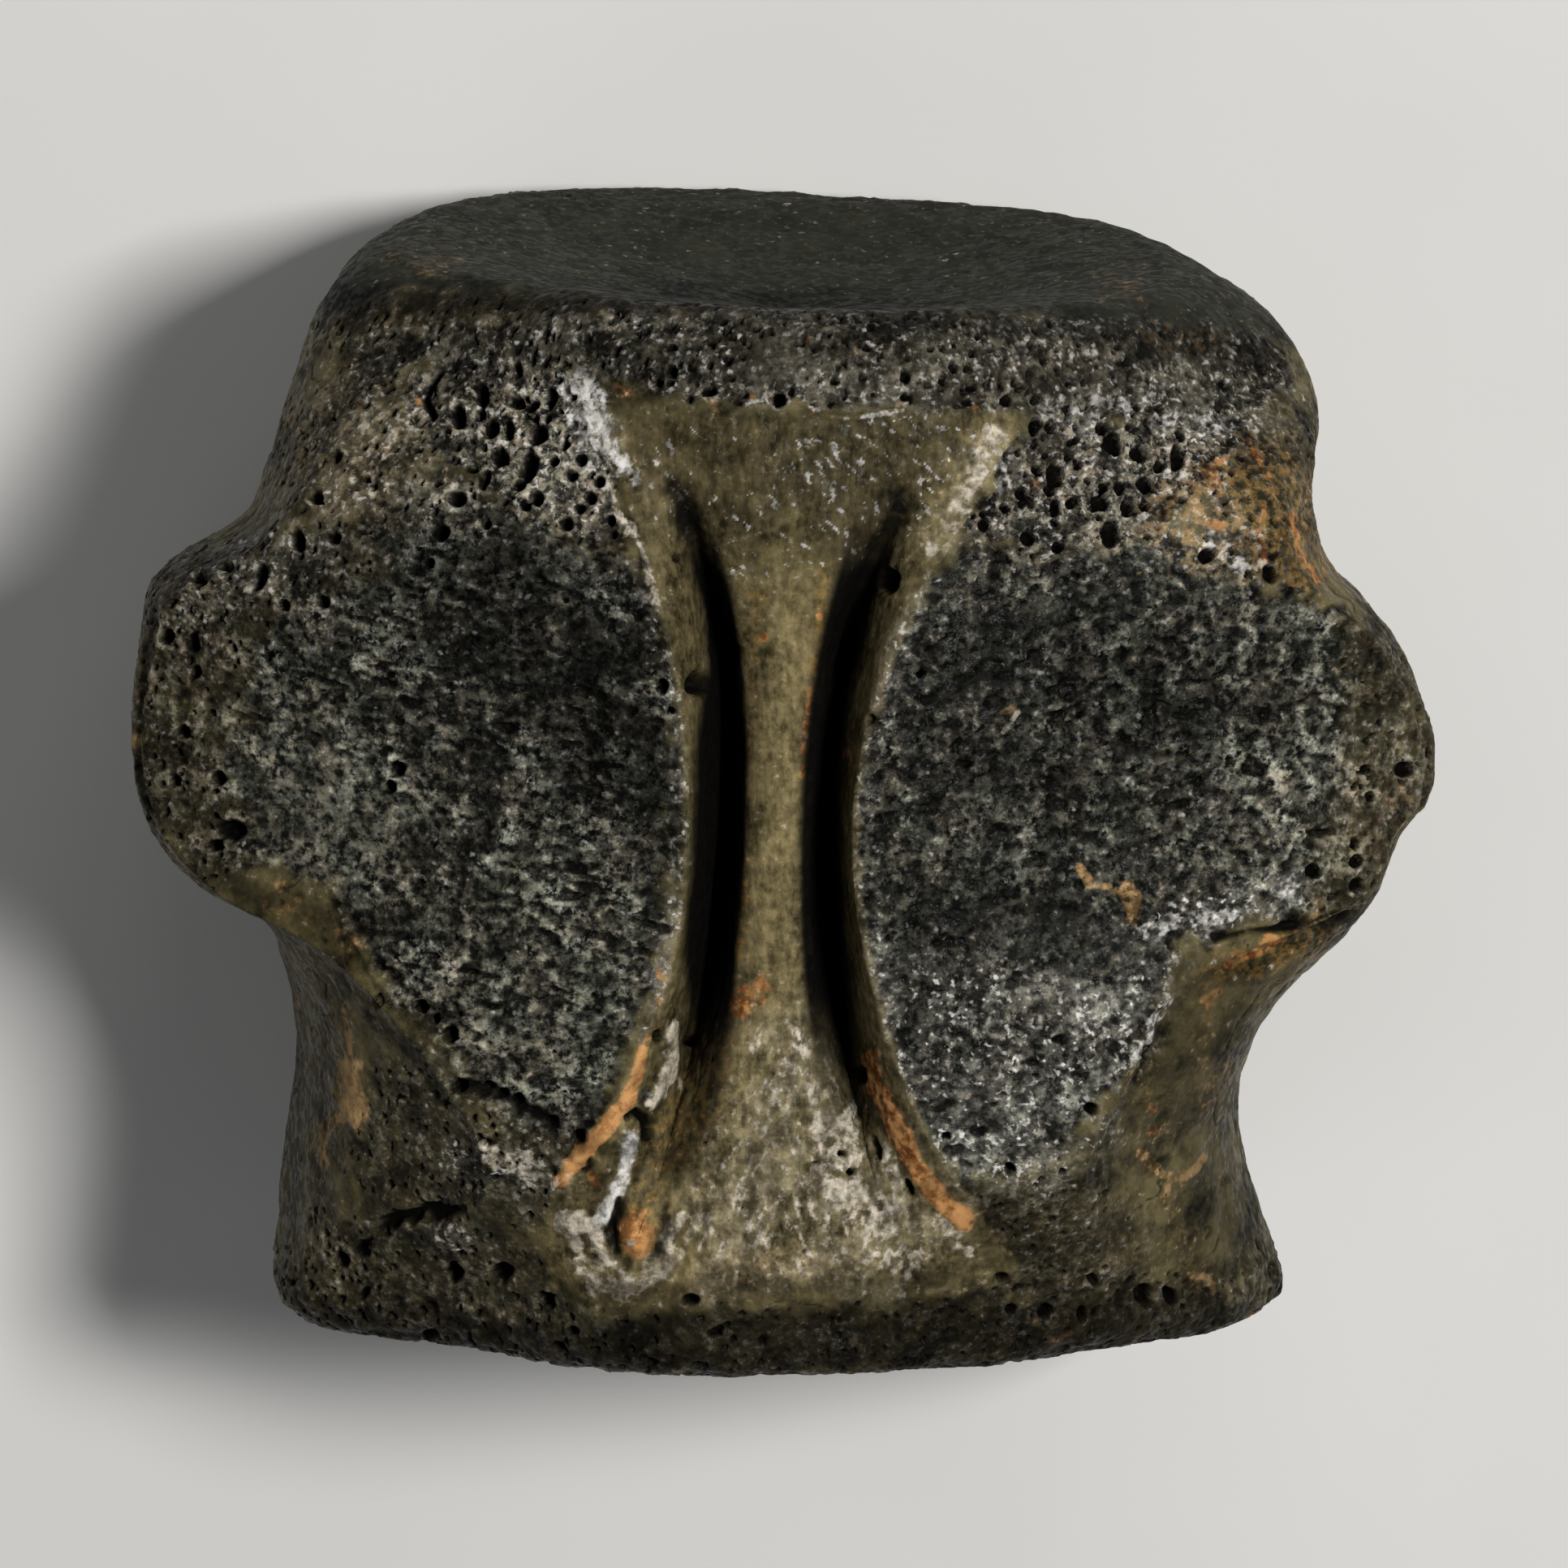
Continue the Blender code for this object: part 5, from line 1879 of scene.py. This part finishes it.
@dataclass
class Board:
    """Adds nodes to one node tree and links them."""

    tree: bpy.types.NodeTree

    def add(self, kind: str, inputs: dict[str | int, Value] | None = None,
            **settings: Value | bool) -> bpy.types.Node:
        """Adds a node.

        Args:
            kind: Its type, without the leading ShaderNode.
            inputs: A value or a socket for each input, by name or place.
            settings: Its other settings.

        Returns:
            The node.
        """
        node = self.tree.nodes.new("ShaderNode" + kind)
        for name, value in settings.items():
            setattr(node, name, value)
        for key, value in (inputs or {}).items():
            self.put(node.inputs[key], value)
        return node

    def put(self, socket: Socket, value: Value) -> None:
        """Links a socket into an input, or sets the input's own value.

        Args:
            socket: The input.
            value: What it gets. A colour of three numbers gets a full alpha.
        """
        if isinstance(value, Socket):
            self.tree.links.new(value, socket)
        elif isinstance(value, tuple) and len(value) == 3 and socket.type == "RGBA":
            socket.default_value = (*value, 1.0)
        else:
            socket.default_value = value

    def blend(self, share: Value, a: Value, b: Value, kind: str = "MIX") -> Socket:
        """Colour a blended with colour b."""
        node = self.add("Mix", {0: share, 6: a, 7: b}, data_type="RGBA", blend_type=kind)
        return node.outputs[2]

    def sum(self, kind: str, a: Value, b: Value, clamp: bool = False) -> Socket:
        """A sum of two numbers, such as MAXIMUM or POWER."""
        return self.add("Math", {0: a, 1: b}, operation=kind, use_clamp=clamp).outputs[0]

    def plus(self, a: Value, b: Value, clamp: bool = False) -> Socket:
        """a plus b."""
        return self.sum("ADD", a, b, clamp)

    def times(self, a: Value, b: Value, clamp: bool = False) -> Socket:
        """a times b."""
        return self.sum("MULTIPLY", a, b, clamp)

    def weighed(self, a: Value, part_a: float, b: Value, part_b: float,
                clamp: bool = False) -> Socket:
        """part_a times a plus part_b times b."""
        return self.plus(self.times(a, part_a), self.times(b, part_b), clamp)

    def between(self, value: Value, low: float, high: float, start: float = 0.0,
                end: float = 1.0) -> Socket:
        """A smooth step from start, where value is low, to end, where it is high."""
        node = self.add("MapRange", {0: value, 1: low, 2: high, 3: start, 4: end},
                        interpolation_type="SMOOTHSTEP")
        return node.outputs[0]

    def noise(self, place: Value, scale: Value, detail: float = 3.0,
              rough: float = 0.55) -> Socket:
        """Cloudy noise from 0 to 1, scale swells to the metre."""
        node = self.add("TexNoise", {"Vector": place, "Scale": scale, "Detail": detail,
                                     "Roughness": rough})
        return node.outputs["Fac"]

    def channels(self, name: str) -> tuple[Socket, ...]:
        """Reads a colour attribute of the mesh.

        Args:
            name: Its name.

        Returns:
            Its red, green, blue and alpha.
        """
        source = self.add("Attribute", attribute_name=name)
        parts = self.add("SeparateColor", {0: source.outputs["Color"]})
        return (*parts.outputs[:3], source.outputs["Alpha"])


def new_group(name: str, takes: dict[str, float],
              gives: Sequence[str]) -> tuple[Board, bpy.types.Node, bpy.types.Node]:
    """An empty shader node group.

    Args:
        name: Its name.
        takes: Its number inputs and their usual values.
        gives: Its number outputs.

    Returns:
        Its board, its input node and its output node.
    """
    tree = bpy.data.node_groups.new(name, "ShaderNodeTree")
    for label, value in takes.items():
        tree.interface.new_socket(label, in_out="INPUT", socket_type="NodeSocketFloat")
        tree.interface.items_tree[label].default_value = value
    for label in gives:
        tree.interface.new_socket(label, in_out="OUTPUT", socket_type="NodeSocketFloat")
    start = tree.nodes.new("NodeGroupInput")
    end = tree.nodes.new("NodeGroupOutput")
    return Board(tree), start, end


@dataclass(frozen=True)
class GritGroup:
    """Node group: the fine grit of mineral-filled bone, as masks, tones and a height."""

    name: str = "mineral_grit"
    bend: float = 0.00016
    along: Vector3 = (1.0, 2.6, 1.0)

    def build(self) -> bpy.types.NodeTree:
        """Makes the group.

        Returns:
            Its node tree.
        """
        board, start, end = new_group(
            self.name, {"Coarse": 4200.0, "Fine": 6800.0, "Grains": 6000.0, "Clusters": 950.0,
                        "Fibres": 7000.0},
            ("Mottle", "Grit", "Tint", "Spark", "Core", "Cluster", "Fibre", "Height"))
        place = board.add("TexCoord").outputs["Object"]
        coarse = board.noise(place, start.outputs["Coarse"], 3.0, 0.66)
        fine = board.add("TexNoise", {"Vector": place, "Scale": start.outputs["Fine"],
                                      "Detail": 2.0, "Roughness": 0.6})
        slow = board.add("TexNoise", {"Vector": place, "Scale": start.outputs["Clusters"],
                                      "Detail": 4.0, "Roughness": 0.65})
        hues = board.add("SeparateColor", {0: slow.outputs["Color"]})
        lengthwise = board.add("Mapping", {"Vector": place, "Scale": self.along},
                               vector_type="TEXTURE").outputs[0]
        fibre = board.noise(lengthwise, start.outputs["Fibres"], 3.0, 0.6)
        shove = board.add("VectorMath", {0: fine.outputs["Color"], 1: (0.5, 0.5, 0.5)},
                          operation="SUBTRACT").outputs[0]
        shove = board.add("VectorMath", {0: shove, "Scale": self.bend},
                          operation="SCALE").outputs[0]
        bent = board.add("VectorMath", {0: place, 1: shove}, operation="ADD").outputs[0]
        cells = board.add("TexVoronoi", {"Vector": bent, "Scale": start.outputs["Grains"]})
        own = board.add("SeparateColor", {0: cells.outputs["Color"]})
        core = board.between(cells.outputs["Distance"], 0.20, 0.48, 1.0, 0.0)
        height = board.plus(coarse, board.times(fine.outputs["Fac"], 0.6))
        height = board.plus(height, board.times(core, 0.35))
        for label, socket in (("Mottle", coarse), ("Grit", fine.outputs["Fac"]),
                              ("Tint", board.between(hues.outputs[1], 0.42, 0.58)),
                              ("Spark", own.outputs[1]), ("Core", core),
                              ("Cluster", board.between(hues.outputs[0], 0.38, 0.62)),
                              ("Fibre", fibre), ("Height", height)):
            board.put(end.inputs[label], socket)
        return board.tree


@dataclass(frozen=True)
class BoneFinish:
    """Dark fossil bone, stained by iron and lime, with painted shade in its hollows and recesses
    and painted glints on its grit.
    """

    name: str = "fossil_bone_skin"
    outer: tuple[Colour, Colour] = ((0.009, 0.0085, 0.0045), (0.165, 0.136, 0.062))
    facet: tuple[Colour, Colour] = ((0.0026, 0.0030, 0.0022), (0.264, 0.261, 0.217))
    canal: tuple[Colour, Colour] = ((0.016, 0.0130, 0.0045), (0.222, 0.178, 0.085))
    sponge: tuple[Colour, Colour] = ((0.0044, 0.0040, 0.0030), (0.300, 0.264, 0.198))
    end_face: tuple[Colour, Colour] = ((0.0180, 0.0195, 0.0140), (0.0345, 0.0358, 0.0248))
    rust: tuple[Colour, Colour] = ((0.17, 0.056, 0.014), (0.68, 0.350, 0.130))
    tan: tuple[Colour, Colour] = ((0.11, 0.066, 0.026), (0.58, 0.370, 0.165))
    ochre: tuple[Colour, Colour] = ((0.022, 0.013, 0.005), (0.32, 0.190, 0.056))
    cream: tuple[Colour, Colour] = ((0.28, 0.240, 0.172), (0.72, 0.650, 0.530))
    chalk: tuple[Colour, Colour] = ((0.27, 0.262, 0.240), (0.82, 0.800, 0.760))
    shade_colour: Colour = (0.0018, 0.0016, 0.0012)
    warm_grain: Colour = (1.0, 0.93, 0.84)
    cool_grain: Colour = (0.94, 0.98, 0.92)
    glitter_grey: tuple[Colour, Colour] = ((0.0040, 0.0040, 0.0030), (0.44, 0.425, 0.375))
    glint: Colour = (0.74, 0.73, 0.69)
    bump: float = 0.9
    bump_depth: float = 0.00004
    gloss: float = 0.06

    def build(self, grit: bpy.types.NodeTree) -> bpy.types.Material:
        """Makes the material.

        Args:
            grit: The node group of the fine grit.

        Returns:
            The material.
        """
        material = bpy.data.materials.new(self.name)
        material.use_nodes = True
        board = Board(material.node_tree)
        shader = material.node_tree.nodes["Principled BSDF"]
        shader.inputs["Specular IOR Level"].default_value = self.gloss
        facet, canal, sponge, end_face = board.channels("zones")
        rust, cream, tan, chalk = board.channels("stains")
        pale, dark, glitter, ochre = board.channels("tones")
        hollow, crest, painted_shade, polish = board.channels("shade_and_wear")
        grains = board.add("Group", node_tree=grit)
        mottle, fine, tint, spark, core, cluster, fibres, relief = grains.outputs[:8]
        blend, between = board.blend, board.between
        plus, times, weighed = board.plus, board.times, board.weighed
        place = board.add("TexCoord").outputs["Object"]
        fabric = between(mottle, 0.36, 0.66)
        cloud = between(board.noise(place, 520.0, 4.0), 0.40, 0.60)
        fibre = between(fibres, 0.36, 0.64)
        broad = weighed(cloud, 0.45, cluster, 0.55)
        patchy = weighed(fabric, 0.40, broad, 0.60)
        calm = weighed(fabric, 0.18, broad, 0.82)
        striped = weighed(fibre, 0.25, patchy, 0.75)
        crowd = plus(0.22, times(cluster, 0.78))
        stand = plus(0.40, times(crest, 0.85))
        grain = times(board.sum("POWER", fabric, 1.3), times(crowd, stand), clamp=True)
        colour = blend(calm, *self.outer)
        for share, pair, mix_by in (
                (end_face, self.end_face, calm), (facet, self.facet, grain),
                (sponge, self.sponge, grain), (canal, self.canal, striped)):
            colour = blend(share, colour, blend(mix_by, *pair))
        hue = blend(tint, self.warm_grain, self.cool_grain)
        plain = plus(facet, sponge, clamp=True)
        colour = blend(plain, colour, blend(1.0, colour, hue, "MULTIPLY"))
        ochre = times(ochre, between(mottle, 0.44, 0.56))
        colour = blend(ochre, colour, blend(patchy, *self.ochre))
        # Lighter where pale and where the grit glitters: partly paler grains, partly painted
        # glints.
        lift = plus(1.0, times(pale, 1.10))
        lift = plus(lift, times(glitter, 0.60))
        colour = blend(1.0, colour, lift, "MULTIPLY")
        glitter_grey = blend(board.sum("POWER", patchy, 1.8), *self.glitter_grey)
        colour = blend(times(glitter, 0.40), colour, glitter_grey)
        tear = plus(mottle, fine)
        tear = times(board.sum("SUBTRACT", tear, 1.0), 0.8)
        uneven = between(patchy, 0.25, 0.70)
        fired = weighed(uneven, 0.65, pale, 0.50, clamp=True)
        for share, pair, mix_by in ((tan, self.tan, fired), (rust, self.rust, fired),
                                    (cream, self.cream, fabric), (chalk, self.chalk, fabric)):
            torn = between(plus(share, tear), 0.12, 0.82, 0.0, 0.97)
            colour = blend(torn, colour, blend(mix_by, *pair))
        shadow = board.sum("SUBTRACT", 1.0, times(dark, 0.80))
        colour = blend(1.0, colour, shadow, "MULTIPLY")
        # Painted glints: bright specks laid into the base colour, strongest on crests and where
        # the grit glitters, fewer in darker and shaded parts.
        glint = times(core, between(spark, 0.78, 0.96))
        glint_speck = times(between(fine, 0.54, 0.66), cluster)
        glint = board.sum("MAXIMUM", glint, glint_speck)
        glint = times(glint, plus(0.25, crest, clamp=True))
        sparkle = weighed(glitter, 0.90, plain, 0.36)
        sparkle = plus(sparkle, times(polish, 0.04), clamp=True)
        lit = board.sum("SUBTRACT", 1.0, times(dark, 0.75))
        sparkle = times(sparkle, lit)
        colour = blend(times(glint, sparkle), colour, self.glint)
        # Painted shade: the relief's hollows and the sunk pores, holes, cracks and grooves are
        # blended toward near black.
        colour = blend(times(hollow, 0.90), colour, self.shade_colour)
        colour = blend(painted_shade, colour, self.shade_colour)
        board.put(shader.inputs["Base Color"], colour)
        rough = between(spark, 0.2, 0.9, 0.62, 0.32)
        covered = board.sum("MAXIMUM", board.sum("MAXIMUM", rust, tan),
                            board.sum("MAXIMUM", cream, end_face))
        rough = plus(rough, times(covered, 0.22))
        rough = plus(rough, times(painted_shade, 0.35), clamp=True)
        board.put(shader.inputs["Roughness"], rough)
        even = board.sum("MAXIMUM", times(polish, 0.7), times(end_face, 0.97))
        height = board.add("Mix", {0: canal, 2: relief, 3: fibres}).outputs[0]
        height = times(height, board.sum("SUBTRACT", 1.0, even))
        bump = board.add("Bump", {"Height": height, "Strength": self.bump,
                                  "Distance": self.bump_depth})
        board.put(shader.inputs["Normal"], bump.outputs["Normal"])
        return material


@dataclass
class BoneSkin:
    """The whole surface of the bone, as one closed mesh over its solid."""

    spool: Spool = Spool()
    weave: Weave = Weave()
    zone_map: ZoneMap = ZoneMap()
    relief: tuple[Relief, ...] = (Facets(), SpongyBone(), CanalFloor(), OuterBone(), EndFaces(),
                                  Landmarks())
    stains: MineralStains = MineralStains()
    finish: BoneFinish = BoneFinish()
    name: str = "bone_skin"
    strip: float = 0.66
    disc: float = 0.155
    disc_at: tuple[Span, ...] = ((0.17, 0.83), (0.50, 0.83))
    face_radius: float = 12.6
    margin: float = 0.002
    pad: float = 0.004

    def carve(self) -> Carver:
        """Works out the relief and the stains.

        Returns:
            The carver, with the bare surface and all that covers it.
        """
        carver = Carver(self.spool, surface_of(self.spool, self.weave))
        self.zone_map.mark(carver)
        for part in self.relief:
            part.carve(carver)
        self.stains.lay(carver)
        return carver

    def place(self, points: Array, bare: Array) -> Array:
        """Moves points from the bone's own frame to the solid's place, inside its box.

        Args:
            points: The points to move, in millimetres.
            bare: The bare surface's points, whose box sets the place.

        Returns:
            The points in metres.
        """
        low, high = (np.array(corner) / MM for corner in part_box("vertebra"))
        shift = (low + high - bare.min(axis=0) - bare.max(axis=0)) / 2
        shift[2] = self.spool.belly_depth - self.spool.worn_flat
        return np.clip(points + shift, low + self.margin, high - self.margin) * MM

    def faces(self, rows: int, columns: int) -> tuple[Array, Array]:
        """The mesh's corners and where each face starts among them.

        Args:
            rows: How many rows of points the grid has.
            columns: How many columns.

        Returns:
            The vertex of each corner, and the first corner of each face.
        """
        numbers = np.arange(rows * columns).reshape(rows, columns)
        after = np.roll(numbers, -1, axis=1)
        quads = np.stack([numbers[:-1], after[:-1], after[1:], numbers[1:]], axis=2)
        pole_low = np.full(columns, rows * columns)
        low_fan = np.stack([after[0], numbers[0], pole_low], axis=1)
        high_fan = np.stack([numbers[-1], after[-1], pole_low + 1], axis=1)
        corners = np.concatenate([quads.ravel(), low_fan.ravel(), high_fan.ravel()])
        sides = np.repeat([4, 3], [quads.shape[0] * columns, 2 * columns])
        return corners, np.concatenate([[0], np.cumsum(sides)[:-1]])

    def flat_places(self, surface: Surface) -> Array:
        """Where each corner lies on the bone's unwrapped picture.

        Args:
            surface: The bare surface.

        Returns:
            A row of two numbers for each corner, in the order of faces.
        """
        rows, columns = surface.grid.shape[:2]
        turn = (np.arange(columns) + columns // 2) % columns
        left, right = turn / columns, (turn + 1) / columns
        first, last = surface.face_rows - 1, rows - surface.face_rows
        up = (np.arange(rows) - first) / (last - first)
        u = np.stack([left, right, right, left], axis=1) * (1 - 2 * self.pad) + self.pad
        v = up * (self.strip - 2 * self.pad) + self.pad
        body = np.empty((rows - 1, columns, 4, 2))
        body[..., 0] = u
        body[..., 1] = np.stack([v[:-1], v[:-1], v[1:], v[1:]], axis=1)[:, None]
        flat = surface.grid[..., (0, 2)] + (0.0, self.spool.axis_depth)
        flat = flat * self.disc / self.face_radius
        corner = np.stack([flat[:-1], np.roll(flat, -1, axis=1)[:-1],
                           np.roll(flat, -1, axis=1)[1:], flat[1:]], axis=2)
        body[:first] = corner[:first] + self.disc_at[0]
        body[last:] = corner[last:] + self.disc_at[1]
        fans = []
        for ring, at, pole, order in ((flat[0], self.disc_at[0], surface.poles[0], (1, 0)),
                                      (flat[-1], self.disc_at[1], surface.poles[1], (0, 1))):
            pair = np.stack([ring, np.roll(ring, -1, axis=0)], axis=1)[:, order]
            tip = (pole[[0, 2]] + (0.0, self.spool.axis_depth)) * self.disc / self.face_radius
            tips = np.broadcast_to(tip, (columns, 1, 2))
            fans.append(np.concatenate([pair, tips], axis=1) + at)
        return np.concatenate([body.reshape(-1, 2), *(fan.reshape(-1, 2) for fan in fans)])

    def build(self, grit: bpy.types.NodeTree) -> bpy.types.Object:
        """Makes the skin and dresses it.

        Args:
            grit: The node group of the fine grit.

        Returns:
            The skin's object.
        """
        carver = self.carve()
        surface = carver.surface
        points = np.concatenate([carver.carved(), surface.poles])
        points = self.place(points, surface.points)
        corners, starts = self.faces(*surface.grid.shape[:2])
        mesh = bpy.data.meshes.new(self.name)
        mesh.vertices.add(len(points))
        mesh.vertices.foreach_set("co", points.astype(np.float32).ravel())
        mesh.loops.add(len(corners))
        mesh.loops.foreach_set("vertex_index", corners.astype(np.int32))
        mesh.polygons.add(len(starts))
        mesh.polygons.foreach_set("loop_start", starts.astype(np.int32))
        mesh.update(calc_edges=True)
        mesh.shade_smooth()
        layer = mesh.uv_layers.new(name="OFBake")
        layer.data.foreach_set("uv", self.flat_places(surface).astype(np.float32).ravel())
        for name, values in (("zones", carver.zones), ("stains", carver.stains),
                             ("tones", carver.tones), ("shade_and_wear", carver.shade_and_wear())):
            attribute = mesh.attributes.new(name, "FLOAT_COLOR", "POINT")
            ends = np.stack([values[0], values[-1]])
            filled = np.concatenate([values, ends]).astype(np.float32)
            attribute.data.foreach_set("color", filled.ravel())
        mesh.materials.append(self.finish.build(grit))
        skin = bpy.data.objects.new(self.name, mesh)
        bpy.context.collection.objects.link(skin)
        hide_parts("vertebra")
        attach(skin, "root")
        LOG.info("%s: %d points, %d faces", self.name, len(points), len(starts))
        return skin


@dataclass(frozen=True)
class Lamp:
    """A soft square light that points at the bone."""

    name: str
    toward: Vector3
    far: float
    size: float
    power: float
    colour: Colour

    def build(self, target: Vector) -> bpy.types.Object:
        """Hangs the light.

        Args:
            target: What it points at.

        Returns:
            The light's object.
        """
        lamp = bpy.data.lights.new(self.name, "AREA")
        lamp.size = self.size
        lamp.energy = self.power
        lamp.color = self.colour
        holder = bpy.data.objects.new(self.name, lamp)
        direction = Vector(self.toward).normalized()
        holder.location = direction * self.far + target
        holder.rotation_euler = direction.to_track_quat("Z", "Y").to_euler()
        bpy.context.collection.objects.link(holder)
        return holder


@dataclass
class Studio:
    """A plain pale floor, plain soft light and the photograph's camera."""

    floor_half: float = 0.6
    floor_colour: Colour = (0.74, 0.74, 0.73)
    world_colour: Colour = (0.97, 0.98, 1.0)
    world_strength: float = 0.10
    camera_lift: float = 18.6
    lamps: tuple[Lamp, ...] = (
        Lamp("key", (0.42, 0.20, 0.88), 0.30, 0.06, 0.80, (1.0, 0.98, 0.95)),
        Lamp("fill", (-0.55, -0.45, 0.70), 0.40, 0.25, 0.12, (0.96, 0.98, 1.0)),
        Lamp("back", (0.30, 0.85, 0.50), 0.35, 0.12, 0.10, (1.0, 0.98, 0.95)))

    def floor(self) -> bpy.types.Object:
        """Makes the floor that the bone lies on.

        Returns:
            Its object.
        """
        half = self.floor_half
        mesh = bpy.data.meshes.new("floor")
        mesh.from_pydata([(-half, -half, 0.0), (half, -half, 0.0), (half, half, 0.0),
                          (-half, half, 0.0)], [], [(0, 1, 2, 3)])
        floor = bpy.data.objects.new("floor", mesh)
        bpy.context.collection.objects.link(floor)
        material = bpy.data.materials.new("floor_paper")
        material.use_nodes = True
        board = Board(material.node_tree)
        shader = material.node_tree.nodes["Principled BSDF"]
        place = board.add("TexCoord").outputs["Object"]
        tone = board.between(board.noise(place, 60.0), 0.3, 0.7)
        darker = tuple(part * 0.97 for part in self.floor_colour)
        board.put(shader.inputs["Base Color"], board.blend(tone, self.floor_colour, darker))
        shader.inputs["Roughness"].default_value = 0.85
        mesh.materials.append(material)
        return floor

    def camera(self) -> None:
        """Places the camera where the photograph was taken from."""
        data = bpy.data.cameras.new("camera")
        data.sensor_width = PHOTO.sensor
        data.lens = PHOTO.sensor * PHOTO.distance * PHOTO.pixels_per_mm / (2 * PHOTO.middle)
        data.clip_start = 0.01
        across, up = PHOTO.aim()
        spot = PHOTO.up() * up + PHOTO.toward_camera() * PHOTO.distance
        spot += (across, 0.0, self.camera_lift)
        camera = bpy.data.objects.new("camera", data)
        camera.location = Vector(spot * MM)
        camera.rotation_euler = (-PHOTO.tilt, 0.0, 0.0)
        bpy.context.collection.objects.link(camera)
        bpy.context.scene.camera = camera

    def build(self) -> None:
        """Makes the floor, the lights, the surroundings and the camera."""
        self.floor()
        for lamp in self.lamps:
            lamp.build(Vector((0.0, 0.0, self.camera_lift * MM / 2)))
        world = bpy.data.worlds.new("studio")
        world.use_nodes = True
        backdrop = world.node_tree.nodes["Background"]
        backdrop.inputs["Color"].default_value = (*self.world_colour, 1.0)
        backdrop.inputs["Strength"].default_value = self.world_strength
        bpy.context.scene.world = world
        bpy.context.scene.view_settings.view_transform = "Standard"
        self.camera()
        LOG.info("studio: floor, %d lights and the camera", len(self.lamps))


def main() -> None:
    """Builds and dresses the bone, then its studio."""
    logging.basicConfig(level=logging.INFO, format="%(name)s: %(message)s")
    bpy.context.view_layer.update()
    grit = GritGroup().build()
    BoneSkin().build(grit)
    Studio().build()
    bpy.context.view_layer.update()


if __name__ == "__main__":
    main()
